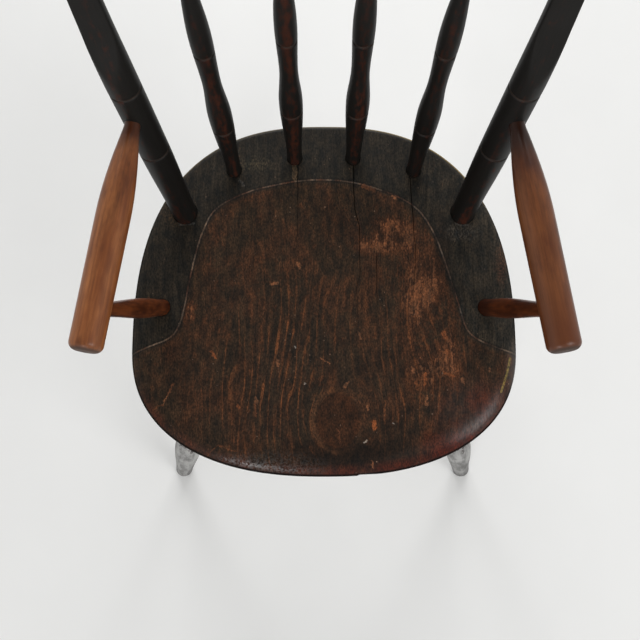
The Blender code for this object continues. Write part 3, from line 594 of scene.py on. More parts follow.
def crack_blade(line, half_width):
    """A thin wedge along a shrinkage crack: widest near the spindle, closing to nothing at the front."""
    line = np.array(line)
    share = np.linspace(0, 1, CRACK_ROWS)
    at = (line[0, 1] - line[:, 1]) / (line[0, 1] - line[-1, 1])
    x = np.interp(share, at, line[:, 0]) + CRACK_WANDER * np.sin(CRACK_WANDER_TURN * share)
    y = np.interp(share, at, line[:, 1])
    wide = half_width * (1 - CRACK_CLOSING * share**CRACK_CLOSING_POWER)
    surface = SEAT_HEIGHT - saddle_drop(x, y)
    top = surface + CRACK_TOP
    foot = surface - CRACK_DEPTH * (1 - CRACK_SHALLOWING * share)
    corners = ((-wide, top), (0 * wide, foot), (wide, top))
    grid = np.stack([np.stack([x + out, y, lift], -1) for out, lift in corners], 1)
    return skin(grid, grid[[0, -1]].mean(1), {})


def socket_drill(start, along, radius, depth):
    """A round drill for a tenon: a straight run from above the surface to below the tenon's end."""
    distances = np.array((*DRILL_STARTS, depth / 2, depth + SOCKET_GAP))
    return turned(start, along, (distances, np.full(len(distances), radius + SOCKET_GAP)))


def carve(shapes):
    """Takes all the later shapes out of the first, and returns the mesh that is left."""
    held = [put_object(name, put_mesh(name, *shape)) for name, shape in shapes.items()]
    for tool in held[1:]:
        cut = held[0].modifiers.new(tool.name, "BOOLEAN")
        cut.operation = "DIFFERENCE"
        cut.solver = "EXACT"
        cut.object = tool
    graph = bpy.context.evaluated_depsgraph_get()
    carved = bpy.data.meshes.new_from_object(held[0].evaluated_get(graph))
    for thing in held:
        bpy.data.objects.remove(thing, do_unlink=True)
    return carved


def make_seat(sockets):
    """The carved plank, with its distances in plan to the groove and to the edge on each point."""
    mesh = carve({
        "plank": seat_blank(),
        "groove_gouge": groove_gouge(),
        "cracks": joined([crack_blade(*crack) for crack in CRACKS]),
        "sockets": joined([socket_drill(*socket) for socket in sockets]),
    })
    places = np.empty(len(mesh.vertices) * 3, np.float32)
    mesh.vertices.foreach_get("co", places)
    plan = (places.reshape(-1, 3) - point(0, SEAT_FRONT, 0))[:, :2]
    line = groove_line()
    rim = outline(np.linspace(0, TAU, OUTLINE_STEPS))
    add_fields(mesh, {
        "groove": gap_to_line(plan, line) * np.where(in_saddle(plan, line), 1, -1),
        "edge": gap_to_line(plan, rim),
    })
    add_piece("seat", "worn_seat", mesh, SEAT_SHARP_ANGLE)


def leg_line(row, side):
    """Where a leg leaves the underside of the seat, its direction to the floor, and its length."""
    inset, back, outset, foot_back = LEG_ROWS[row]
    head = point(side * (SEAT_WIDTH / 2 - inset), back, SEAT_BOTTOM)
    return head, *aimed(head, point(side * (SEAT_WIDTH / 2 + outset), foot_back, 0))


def leg_stations(length):
    """Radii down a leg: tenon, two bamboo swells with a waist between them, and the foot."""
    tenon = ((-LEG_TENON, LEG_TENON_RADIUS), (NECK, LEG_TENON_RADIUS))
    return [*tenon, *LEG_SWELLS, (length, FOOT_RADIUS)]


def leg_at(row, side, height):
    """The middle of a leg and its radius at a height over the floor."""
    head, along, length = leg_line(row, side)
    distance = (height - head[2]) / along[2]
    return head + along * distance, float(eased(leg_stations(length), np.array(distance)))


def make_leg(row, side_name, side, offset):
    """A leg from its socket to a level foot with a rubbed arris. Returns its socket in the seat."""
    head, along, length = leg_line(row, side)
    rings = (LEG_UPPER_RING, LEG_LOWER_RING)
    distances, radii = profile_of(leg_stations(length), rings)
    from_end, lost = np.array(FOOT_ARRIS).T
    distances = np.concatenate([distances[:-1], length - from_end])
    profile = distances, np.concatenate([radii[:-1], FOOT_RADIUS - lost])
    scuffed = smooth((distances - length + SCUFF_RUN) / SCUFF_RUN)
    node = f"leg_{row}_{side_name}"
    turn_piece(node, "black_paint", head, along, profile, rings, offset, scuffed, on_floor=True)
    return head, -along, LEG_TENON_RADIUS, LEG_TENON


def make_stretcher(node, ends, radius, offset, flat_top=None):
    """A stretcher between two legs, each given as (middle, radius), thickest and ringed half way.

    With a flat top it has no ring.
    """
    (near, near_radius), (far, far_radius) = ends
    along, length = aimed(near, far)
    stations = [
        (-TENON_PAST_AXIS, STRETCHER_TENON_RADIUS),
        (near_radius + NECK, STRETCHER_TENON_RADIUS),
        (length / 2, radius),
        (length - far_radius - NECK, STRETCHER_TENON_RADIUS),
        (length + TENON_PAST_AXIS, STRETCHER_TENON_RADIUS),
    ]
    rings = (length / 2,) if flat_top is None else ()
    profile = profile_of(stations, rings)
    turn_piece(node, "black_paint", near, along, profile, rings, offset, flat_top=flat_top)


def make_underframe():
    """Four legs and the stretchers between them. Returns the legs' sockets in the seat."""
    sockets = []
    for row in LEG_ROWS:
        for offset, (side_name, side) in enumerate(SIDES, start=LEG_GRAIN[row]):
            sockets.append(make_leg(row, side_name, side, offset))
    for offset, (side_name, side) in enumerate(SIDES, start=STRETCHER_GRAIN):
        ends = [leg_at(row, side, STRETCHER_HEIGHT) for row in LEG_ROWS]
        make_stretcher(f"stretcher_{side_name}", ends, STRETCHER_RADIUS, offset)
    for node, row, rise, *sizes in (
        ("stretcher_rear", "rear", REAR_STRETCHER_RISE, STRETCHER_RADIUS, REAR_STRETCHER_GRAIN),
        ("foot_rail", "front", FOOT_RAIL_RISE, FOOT_RAIL_RADIUS, FOOT_RAIL_GRAIN, FOOT_RAIL_FLAT),
    ):
        make_stretcher(node, [leg_at(row, side, STRETCHER_HEIGHT + rise) for _, side in SIDES], *sizes)
    return sockets


def stile_axes(side):
    """The foot of a stile on the deck, with its upward, backward and sideways directions."""
    foot = point(side * (SEAT_WIDTH / 2 - STILE_INSET), SEAT_DEPTH - STILE_FROM_BACK, SEAT_HEIGHT)
    up = unit(point(side * math.tan(STILE_LEAN_OUT), math.tan(STILE_LEAN_BACK), 1))
    back = unit(point(0, 1, 0) - up * up[1])
    return foot, up, back, np.cross(back, up)


def stile_radius(distance):
    """The radius of a stile at a distance up from the deck."""
    return eased([
        (NECK, STILE_TENON_RADIUS),
        *((ring, STILE_RADIUS) for ring in STILE_RINGS),
        (STILE_LENGTH - CREST_HEIGHT, STILE_NECK_RADIUS),
        (STILE_LENGTH, STILE_THUMB_RADIUS),
    ], distance)


def stile_middle(side, distance):
    """The middle of a stile, bent back above the arms by the square of the share of the way up."""
    foot, up, back, _ = stile_axes(side)
    share = np.clip((distance - STILE_SHAVE_START) / (STILE_LENGTH - STILE_SHAVE_START), 0, None)
    return foot + distance[..., None] * up + (STILE_BEND * share**2)[..., None] * back


def stile_flat(distance):
    """From the middle of a stile to its front face, which is shaved flat above the arms."""
    return eased([(STILE_SHAVE_START, STILE_RADIUS + ARRIS), (STILE_SHAVE_END, STILE_FLAT)], distance)


def make_stile(side_name, side, offset):
    """A stile: a circle along a bent line, its front cut back to a flat, and its top domed to a thumb."""
    foot, up, back, across = stile_axes(side)
    dome_foot = STILE_LENGTH - STILE_THUMB_ROUND
    dome = dome_foot + STILE_THUMB_ROUND * np.sin(np.linspace(0, QUARTER, DOME_ROWS))[1:-1]
    distances = np.concatenate([spaced(-DECK_TENON, dome_foot, STILE_RINGS), dome])
    shrink = np.sqrt(1 - np.clip((distances - dome_foot) / STILE_THUMB_ROUND, 0, 1) ** 2)
    radii = ((stile_radius(distances) - ring_notch(distances, STILE_RINGS)) * shrink)[:, None]
    flat = (stile_flat(distances) * shrink)[:, None]
    wide = radii * np.cos(ANGLES)
    deep = -soft_least(-radii * np.sin(ANGLES), flat, ARRIS)
    deep = np.where(flat > radii, radii * np.sin(ANGLES), deep)
    grid = stile_middle(side, distances)[:, None] + wide[..., None] * across + deep[..., None] * back
    ends = stile_middle(side, np.array((-DECK_TENON, STILE_LENGTH)))
    outward = np.cos(ANGLES)[:, None] * across + np.sin(ANGLES)[:, None] * back
    age = STILE_FOOT_AGE + (STILE_AGE - STILE_FOOT_AGE) * smooth(distances / STILE_FOOT_RUN)
    fields = turned_fields(distances, radii, outward, STILE_RINGS, offset, age)
    node = f"stile_{side_name}"
    add_piece(node, "black_paint", put_mesh(node, *skin(grid, ends, fields)))
    return foot, -up, STILE_TENON_RADIUS, DECK_TENON


def stile_at_crest():
    """The radius of a stile where the crest meets it, and from its middle to its front face there."""
    radius = float(stile_radius(CREST_LEVEL))
    return radius, min(float(stile_flat(CREST_LEVEL)), radius)


def crest_curve():
    """The radius of the crest's bow, its rearmost place and height, and the angle at its ends."""
    stile, flat = stile_at_crest()
    end = stile_middle(1, CREST_LEVEL) + stile_axes(1)[2] * ((stile - flat) / 2)
    radius = (end[0] ** 2 + CREST_BOW**2) / (2 * CREST_BOW)
    return radius, end[1] + CREST_BOW, end[2], math.asin(end[0] / radius)


def crest_frame(turn):
    """Points of the crest's bowed middle line with their sideways, upward and backward directions."""
    radius, rear, height, _ = crest_curve()
    turn = np.asarray(turn, float)
    none = np.zeros_like(turn)
    outward = np.stack([np.sin(turn), np.cos(turn), none], -1)
    across = np.stack([np.cos(turn), -np.sin(turn), none], -1)
    up = math.cos(CREST_TILT) * point(0, 0, 1) + math.sin(CREST_TILT) * outward
    return point(0, rear - radius, height) + radius * outward, across, up, np.cross(up, across)


def crest_shoulder_turn():
    """The angle of the crest's shoulders, let into the stiles a little."""
    radius, _, _, end_turn = crest_curve()
    return end_turn - (stile_at_crest()[0] - CREST_HOUSING) / radius


def rounded_section():
    """A rectangle as (depth, height) pairs, each corner a quarter circle, counted from the lower front."""
    lift = np.linspace(0, QUARTER, CORNER_STEPS)
    half = np.array((CREST_THICKNESS, CREST_HEIGHT)) / 2 - CREST_ROUND
    corners = []
    for quarter, way in enumerate(((-1, -1), (1, -1), (1, 1), (-1, 1))):
        turn = lift + math.pi * (1 + quarter / 2)
        corners.append(way * half + CREST_ROUND * np.stack([np.cos(turn), np.sin(turn)], -1))
    return np.concatenate(corners)


def make_crest(offset):
    """The crest rail: a rounded section along a bow, its upper edge raised in the middle by a parabola."""
    radius = crest_curve()[0]
    limit = crest_shoulder_turn() + CREST_TENON_LENGTH / 2 / radius
    share = np.linspace(-1, 1, CREST_ROWS)
    middle, _, up, back = crest_frame(limit * share)
    deep, high = rounded_section().T
    lift = high + CREST_CROWN * (1 - share**2)[:, None] * (high > 0)
    grid = middle[:, None] + deep[:, None] * back[:, None] + lift[..., None] * up[:, None]
    run = (limit * share * radius)[:, None]
    fields = wood_fields((deep, lift, run), 1.0, -deep / CREST_THICKNESS * 2, 0.0, offset)
    skinned = skin(grid, grid[[0, -1]].mean(1), fields)
    add_piece("crest_rail", "black_paint", put_mesh("crest_rail", *skinned))


def make_pin(side_name, side, offset):
    """A wooden pin through a stile and the crest's tenon, its ends slightly domed."""
    place, across, _, back = crest_frame(side * crest_shoulder_turn())
    half = sum(stile_at_crest()) / 2
    proud, share = np.array(PIN_DOME).T
    straight = np.linspace(-half, half, PIN_ROWS)
    distances = np.concatenate([-half - PIN_PROUD * proud, straight, half + PIN_PROUD * proud[::-1]])
    radii = PIN_RADIUS * np.concatenate([share, np.ones(PIN_ROWS), share[::-1]])
    middle = place + across * (side * CREST_TENON_LENGTH / 2)
    turn_piece(f"crest_pin_{side_name}", "bare_wood", middle, back, (distances, radii), (), offset)


def make_spindle(number, side, sizes):
    """A bamboo-turned spindle from the deck into the underside of the crest. Returns its socket."""
    spread, edge, head_spread, ring = sizes
    foot = point(side * spread, SEAT_DEPTH - edge, SEAT_HEIGHT)
    place, _, up, _ = crest_frame(math.asin(side * head_spread / crest_curve()[0]))
    along, length = aimed(foot, place - up * (CREST_HEIGHT / 2))
    profile = profile_of([
        (-DECK_TENON, SPINDLE_TENON_RADIUS),
        (NECK, SPINDLE_TENON_RADIUS),
        *SPINDLE_SWELLS,
        (length - NECK, SPINDLE_HEAD_RADIUS),
        (length + SPINDLE_HEAD_TENON, SPINDLE_HEAD_RADIUS),
    ], (ring, SPINDLE_UPPER_RING))
    shape = foot, along, profile, (ring, SPINDLE_UPPER_RING), SPINDLE_GRAIN + number, SPINDLE_AGE[number]
    turn_piece(f"spindle_{number + 1}", "black_paint", *shape)
    return foot, -along, SPINDLE_TENON_RADIUS, DECK_TENON


def make_back():
    """Stiles, crest with its pins, and the four spindles. Returns their sockets in the seat."""
    sockets = [make_stile(side_name, side, STILE_GRAIN + side) for side_name, side in SIDES]
    make_crest(CREST_GRAIN)
    for side_name, side in SIDES:
        make_pin(side_name, side, PIN_GRAIN + side)
    row = ((-1, OUTER_SPINDLE), (-1, INNER_SPINDLE), (1, INNER_SPINDLE), (1, OUTER_SPINDLE))
    return sockets + [make_spindle(number, *spindle) for number, spindle in enumerate(row)]


def arm_radius(distance, length):
    """The radius along an arm: a quarter sine wave from its tenon to the swell, then nearly even."""
    neck = STILE_RADIUS + NECK / 2
    wave = np.sin(np.clip((distance - neck) / (ARM_SWELL - neck), 0, 1) * QUARTER)
    front = eased([(ARM_SWELL, ARM_RADIUS), (length - ARM_END_ROUND, ARM_END_RADIUS)], distance)
    return np.where(distance < ARM_SWELL, ARM_TENON_RADIUS + (ARM_RADIUS - ARM_TENON_RADIUS) * wave, front)


def make_arm(side_name, side):
    """An arm with a rounded-over front end, and the post that carries it. Returns the post's socket."""
    rear = stile_middle(side, np.array(ARM_HEIGHT / stile_axes(side)[1][2]))
    front = point(side * SEAT_WIDTH / 2, ARM_FRONT_BACK, SEAT_HEIGHT + ARM_FRONT_HEIGHT)
    along, length = aimed(rear, front)
    offset = ARM_GRAIN[side_name]
    distances = spaced(-TENON_PAST_AXIS, length - ARM_END_ROUND)
    turn = np.linspace(0, QUARTER, ARM_END_ROWS)[1:]
    end_radii = ARM_END_RADIUS - ARM_END_ROUND * (1 - np.cos(turn))
    radii = np.concatenate([arm_radius(distances, length), end_radii])
    distances = np.concatenate([distances, length - ARM_END_ROUND * (1 - np.sin(turn))])
    clean = smooth((distances - STILE_RADIUS) / ARM_GRIME_RUN[side_name])
    age = ARM_AGE[side_name] + ARM_REAR_GRIME[side_name] * (1 - clean)
    turn_piece(f"arm_{side_name}", "bare_wood", rear, along, (distances, radii), (length,), offset, age)

    reach = length - POST_HEAD_FROM_END
    half_arm = float(arm_radius(np.array(reach), length))
    foot = point(side * (SEAT_WIDTH / 2 - POST_INSET), POST_BACK, SEAT_HEIGHT)
    rise, height = aimed(foot, rear + along * reach)
    profile = profile_of([
        (-DECK_TENON, POST_TENON_RADIUS),
        (NECK, POST_TENON_RADIUS),
        (POST_SWELL, POST_RADIUS),
        (height - half_arm - NECK, POST_HEAD_RADIUS),
        (height + TENON_PAST_AXIS, POST_HEAD_RADIUS),
    ])
    turn_piece(f"arm_post_{side_name}", "red_brown", foot, rise, profile, (), offset + 1, ARM_AGE[side_name])
    return foot, -rise, POST_TENON_RADIUS, DECK_TENON


class Wire:
    """A node's output. Arithmetic on it adds nodes to its tree; the other value may be plain or a wire."""

    def __init__(self, socket):
        self.socket = socket
        self.tree = socket.id_data

    def work(self, operation, *others, output=0):
        """One step of arithmetic, on vectors where this is one."""
        kind = "ShaderNodeMath" if self.socket.type == "VALUE" else "ShaderNodeVectorMath"
        made = add_node(self.tree, kind, enumerate((self, *others)), operation=operation)
        return Wire(made.outputs[output])

    def __add__(self, other):
        return self.work("ADD", other)

    def __sub__(self, other):
        return self.work("SUBTRACT", other)

    def __mul__(self, other):
        return self.work("MULTIPLY", other)

    def __truediv__(self, other):
        return self.work("DIVIDE", other)

    def rest(self):
        """One less this."""
        made = add_node(self.tree, "ShaderNodeMath", {0: 1.0, 1: self}, operation="SUBTRACT")
        return Wire(made.outputs[0])

    def most(self, other):
        """The greater of this and another."""
        return self.work("MAXIMUM", other)

    def size(self):
        """How far this is from nought."""
        return self.work("ABSOLUTE")

    def dot(self, other):
        """This vector times another, as one number."""
        return self.work("DOT_PRODUCT", other, output=1)

    def parts(self):
        """The three numbers of a vector."""
        return [Wire(part) for part in add_node(self.tree, "ShaderNodeSeparateXYZ", {0: self}).outputs]

    def step(self, low, high, to_low=0.0, to_high=1.0):
        """A smooth step from one value to another as this goes from low to high."""
        values = {"Value": self, "From Min": low, "From Max": high, "To Min": to_low, "To Max": to_high}
        made = add_node(self.tree, "ShaderNodeMapRange", values, interpolation_type="SMOOTHSTEP")
        return Wire(made.outputs["Result"])

    def noise(self, scale, detail=2.0, roughness=0.5, stretch=None, output="Fac"):
        """Cloudy noise at this place, which may be stretched first."""
        place = self * stretch if stretch else self
        values = {"Vector": place, "Scale": scale, "Detail": detail, "Roughness": roughness}
        return Wire(add_node(self.tree, "ShaderNodeTexNoise", values).outputs[output])

    def mix(self, first, second):
        """A second colour over a first by this share."""
        values = {0: self, 6: first, 7: second}
        return Wire(add_node(self.tree, "ShaderNodeMix", values, data_type="RGBA").outputs[2])

    def tinted(self, tint):
        """This colour times another."""
        values = {0: 1.0, 6: self, 7: tint}
        made = add_node(self.tree, "ShaderNodeMix", values, data_type="RGBA", blend_type="MULTIPLY")
        return Wire(made.outputs[2])


def feed(socket, value):
    """Joins a wire to an input, or writes a plain value on it; a colour may leave out its alpha."""
    if isinstance(value, Wire):
        socket.id_data.links.new(value.socket, socket)
    elif socket.type == "RGBA":
        socket.default_value = (*value, 1.0)
    else:
        socket.default_value = value


def add_node(tree, kind, values=(), **settings):
    """A node with its settings and then its inputs."""
    made = tree.nodes.new(kind)
    for key, value in settings.items():
        setattr(made, key, value)
    for key, value in dict(values).items():
        feed(made.inputs[key], value)
    return made


def field(tree, name, output="Fac"):
    """A value stored on the piece's points."""
    return Wire(add_node(tree, "ShaderNodeAttribute", attribute_name=name).outputs[output])


def coordinates(tree, kind="Object"):
    """The place of each point."""
    return Wire(add_node(tree, "ShaderNodeTexCoord").outputs[kind])


def use(group, **values):
    """A group at a place, with its inputs given by name. Returns its outputs by name."""
    made = add_node(values["Place"].tree, "ShaderNodeGroup", values, node_tree=group)
    return {output.name: Wire(output) for output in made.outputs}


def layered(colour, layers):
    """A colour with others laid over it in turn, each as (mask, colour)."""
    for mask, over in layers:
        colour = mask.mix(colour, over)
    return colour


def new_group(name, vectors, numbers, gives):
    """A node group that takes vectors and numbers and gives numbers. Returns its tree, inputs and outputs."""
    tree = bpy.data.node_groups.new(name, "ShaderNodeTree")
    for way, kind, labels in (
        ("INPUT", "NodeSocketVector", vectors),
        ("INPUT", "NodeSocketFloat", numbers),
        ("OUTPUT", "NodeSocketFloat", gives),
    ):
        for label in labels:
            tree.interface.new_socket(label, in_out=way, socket_type=kind)
    takes = {socket.name: Wire(socket) for socket in add_node(tree, "NodeGroupInput").outputs}
    return tree, takes, add_node(tree, "NodeGroupOutput").inputs


def fibre_group():
    """Wood along its third axis: broad tone, fine fibre streaks, a close mottle, and short dark pores."""
    tree, takes, gives = new_group("wood fibre", ["Place"], [], ["Tone", "Fibre", "Mottle", "Pores"])
    place = takes["Place"]
    for label, stretch, scale in (("Tone", 0.12, 60.0), ("Fibre", 0.05, 620.0), ("Mottle", 0.50, 800.0)):
        feed(gives[label], place.noise(scale, 3.0, 0.6, (1, 1, stretch)))
    feed(gives["Pores"], place.noise(1000.0, 1.0, 0.5, (1, 1, 0.06)).step(0.58, 0.72))
    return tree


def wear_group():
    """Where paint is gone: chips and fibre streaks that pass a threshold, which falls as wear rises."""
    numbers = ["Fibre", "Wear", "Scale"]
    tree, takes, gives = new_group("worn paint", ["Place"], numbers, ["Bare", "Under", "Film"])
    chips = takes["Place"].noise(takes["Scale"], 5.0, 0.64, (1, 1, 0.50))
    level = takes["Fibre"] * 0.26 + (chips * 0.74 + takes["Wear"])
    for label, low, high in (("Bare", 0.86, 0.92), ("Under", 0.58, 0.82), ("Film", 0.91, 0.85)):
        feed(gives[label], level.step(low, high))
    return tree


def patch_group():
    """An oval patch in plan: full in its middle, and fading out at its reach."""
    tree, takes, gives = new_group("oval patch", ["Place", "Centre", "Reach"], [], ["Mask"])
    share = (takes["Place"] - takes["Centre"]) / takes["Reach"] * (1, 1, 0)
    feed(gives["Mask"], share.work("LENGTH", output=1).step(1.25, 0.25))
    return tree


def stroke_group():
    """A scratch in plan: one straight run with soft sides."""
    tree, takes, gives = new_group("stroke", ["Place", "Start", "End"], ["Width"], ["Mask"])
    run = takes["End"] - takes["Start"]
    away = takes["Place"] * (1, 1, 0) - takes["Start"]
    values = {0: away.dot(run), 1: run.dot(run)}
    share = Wire(add_node(tree, "ShaderNodeMath", values, operation="DIVIDE", use_clamp=True).outputs[0])
    nearest = add_node(tree, "ShaderNodeVectorMath", {0: run, "Scale": share}, operation="SCALE")
    gap = away.work("DISTANCE", Wire(nearest.outputs[0]), output=1)
    feed(gives["Mask"], gap.step(takes["Width"], takes["Width"] * 0.3))
    return tree


def speck_group():
    """Small scattered specks: round cells of which only a share shows, each its own size and strength."""
    tree, takes, gives = new_group("specks", ["Place"], ["Scale", "Share"], ["Mask"])
    values = {"Vector": takes["Place"], "Scale": takes["Scale"]}
    cells = add_node(tree, "ShaderNodeTexVoronoi", values).outputs
    pick = add_node(tree, "ShaderNodeSeparateColor", {0: Wire(cells["Color"])}).outputs
    chance, wide, strong = (Wire(part) for part in pick)
    size = wide * 0.15 + 0.05
    shown = Wire(cells["Distance"]).step(size, size * 0.3) * strong.step(0.0, 1.0, 0.12, 1.0)
    feed(gives["Mask"], shown * chance.work("LESS_THAN", takes["Share"]))
    return tree


def new_finish(name, **sockets):
    """A material with plain values on its shader's own sockets. Returns it, its tree and those sockets."""
    made = bpy.data.materials.new(name)
    made.use_nodes = True
    inputs = made.node_tree.nodes["Principled BSDF"].inputs
    for key, value in sockets.items():
        inputs[key.replace("_", " ")].default_value = value
    return made, made.node_tree, inputs


def bump(inputs, height, distance, strength):
    """Gives the shader a bump from a height."""
    values = {"Strength": strength, "Distance": distance, "Height": height}
    feed(inputs["Normal"], Wire(add_node(height.tree, "ShaderNodeBump", values).outputs["Normal"]))


def paint_finish():
    """Black paint over red, rubbed to the red where a back leans on it, scuffed grey near the floor."""
    made, tree, inputs = new_finish("black_paint", Specular_IOR_Level=0.19)
    grain = field(tree, "grain", "Vector")
    wood = use(FIBRE, Place=grain)
    tone, fibre = wood["Tone"], wood["Fibre"]
    ring = field(tree, "ring").size()
    age = field(tree, "age")
    wear = field(tree, "rub").step(0.60, 1.0, 0.0, 0.18) + tone.step(0.35, 0.70, -0.10, 0.06)
    wear = age * 0.5 + (ring.step(0.0030, 0.0012) * 0.06 + wear)
    worn = use(WEAR, Place=grain, Fibre=fibre, Wear=wear, Scale=250.0)
    black = fibre.mix((0.0040, 0.0036, 0.0032), (0.0096, 0.0084, 0.0070))
    red = tone.mix((0.018, 0.0045, 0.0025), (0.055, 0.014, 0.0055))
    smear = grain.noise(110.0, 4.0, 0.65, (1, 1, 0.16)).step(0.34, 0.60)
    flake = tone * 0.45 + (grain.noise(190.0, 4.0, 0.70, (1, 1, 0.30)) * 0.95 - 0.70)
    scuffed = (age + flake).step(0.16, 0.30) * age.step(0.12, 0.22)
    tip = age.step(0.55, 1.0) * tone.step(0.40, 0.62, 0.15, 0.75)
    line = ring.step(0.0010, 0.0004) * tone.step(0.30, 0.62, 0.3, 1.0)
    feed(inputs["Base Color"], layered(black, (
        (worn["Under"], red),
        (worn["Bare"], (0.120, 0.048, 0.018)),
        (scuffed, smear.mix((0.185, 0.181, 0.175), (0.405, 0.399, 0.389))),
        (tip, (0.050, 0.048, 0.046)),
        (line, (0.030, 0.0185, 0.012)),
    )))
    feed(inputs["Roughness"], worn["Under"].step(0.0, 1.0, 0.50, 0.60))
    bump(inputs, wood["Mottle"] * 0.6 + worn["Film"], 0.00012, 0.5)
    return made


def arm_finish():
    """Bare hardwood, handled smooth: reddish brown, clouded and smudged, dark on its end and by the stile."""
    made, tree, inputs = new_finish("bare_wood", Specular_IOR_Level=0.36)
    grain = field(tree, "grain", "Vector")
    wood = use(FIBRE, Place=grain)
    age = field(tree, "age")
    ahead = field(tree, "ring").size()
    cloud = grain.noise(70.0, 4.0, 0.6, (1, 1, 0.45))
    tone = (wood["Tone"] * 0.5 + cloud * 0.5).step(0.36, 0.64)
    light = tone.mix((0.198, 0.059, 0.0165), (0.335, 0.121, 0.0375))
    dark = tone.mix((0.052, 0.013, 0.0042), (0.110, 0.031, 0.0092))
    streak = wood["Fibre"].step(0.30, 0.72).mix((0.78, 0.76, 0.74), (1.10, 1.10, 1.10))
    smudge = grain.noise(46.0, 4.0, 0.65, (1, 1, 0.35))
    handled = ahead.step(0.070, 0.010, 0.0, 0.8) * age.step(0.20, 0.60)
    end = ahead.step(0.0030, 0.0008, 0.0, 0.85)
    colour = (wood["Mottle"] * 0.10 + age).mix(light, dark).tinted(streak)
    feed(inputs["Base Color"], layered(colour, (
        (wood["Pores"] * 0.20, (0.050, 0.016, 0.007)),
        (smudge.step(0.53, 0.70, 0.0, 0.55), (0.060, 0.018, 0.007)),
        (age.step(0.95, 1.50, 0.0, 0.9), (0.024, 0.0075, 0.0035)),
        (handled, (0.100, 0.027, 0.0075)),
        (end, (0.040, 0.026, 0.019)),
    )))
    feed(inputs["Roughness"], end * 0.4 + wood["Fibre"].step(0.2, 0.8, 0.38, 0.31))
    bump(inputs, wood["Fibre"] - wood["Pores"], 0.00005, 0.3)
    return made


def post_finish():
    """Red-brown stained posts with dark streaks, the older one darker."""
    made, tree, inputs = new_finish("red_brown", Specular_IOR_Level=0.22)
    grain = field(tree, "grain", "Vector")
    wood = use(FIBRE, Place=grain)
    cloud = grain.noise(120.0, 3.0, 0.6, (1, 1, 0.30))
    tone = (wood["Tone"] * 0.4 + cloud * 0.6).step(0.38, 0.62)
    light = tone.mix((0.032, 0.0072, 0.0024), (0.135, 0.035, 0.0095))
    dark = tone.mix((0.034, 0.0068, 0.0019), (0.080, 0.018, 0.0042))
    colour = field(tree, "age").mix(light, dark)
    feed(inputs["Base Color"], (wood["Pores"] * 0.5).mix(colour, (0.014, 0.005, 0.003)))
    feed(inputs["Roughness"], wood["Fibre"].step(0.2, 0.8, 0.42, 0.32))
    bump(inputs, wood["Fibre"], 0.00010, 0.4)
    return made


# Wear of the seat in millimetres, x and y in the chair's frame: middle, reach, and how far it is worn
SEAT_PATCHES = (
    ((60, 44), (24, 12), 0.28),
    ((53, 27), (28, 11), 0.33),
    ((79, 34), (10, 12), 0.22),
    ((86, -4), (26, 40), 0.21),
    ((94, -56), (36, 60), 0.13),
    ((86, -98), (20, 24), 0.11),
    ((112, -82), (16, 28), 0.13),
    ((-38, -20), (50, 36), 0.05),
    ((-10, -98), (24, 18), 0.10),
    ((-52, -100), (56, 60), 0.03),
    ((-122, -38), (8, 14), 0.24),
)
# Where the growth lines have worn pale, and where the plank has stayed dark: middle, reach and strength
LINED_PATCHES = (((-46, -104), (70, 76), 0.95), ((-22, -40), (66, 56), 0.6), ((84, -86), (52, 92), 0.72))
DARK_PATCHES = (
    ((24, -164), (78, 17), 0.92),
    ((41, -84), (22, 14), 0.45),
    ((26, 52), (38, 28), 0.36),
    ((-128, -86), (18, 40), 0.35),
    ((62, -140), (18, 16), 0.40),
    ((108, 22), (9, 42), 0.55),
)
# Rubbed places of the deck: middle, reach and colour
DECK_SCUFFS = (
    ((-138, 58), (14, 16), (0.038, 0.025, 0.0135)),
    ((161, 8), (6, 22), (0.056, 0.027, 0.016)),
    ((-64, 103), (20, 9), (0.037, 0.032, 0.0205)),
    ((124, 38), (20, 9), (0.040, 0.039, 0.035)),
)
# Middle and reach of the glossy red at the front right, the red on the edge beside it, the pitted gloss at
# the front left, and the shine on the right rim
GLOSS = ((136, -128), (40, 34))
RED_EDGE = ((116, -152), (42, 14))
PITTED_GLOSS = ((-50, -173), (56, 14))
RIM_SHINE = ((170, -88), (9, 26))
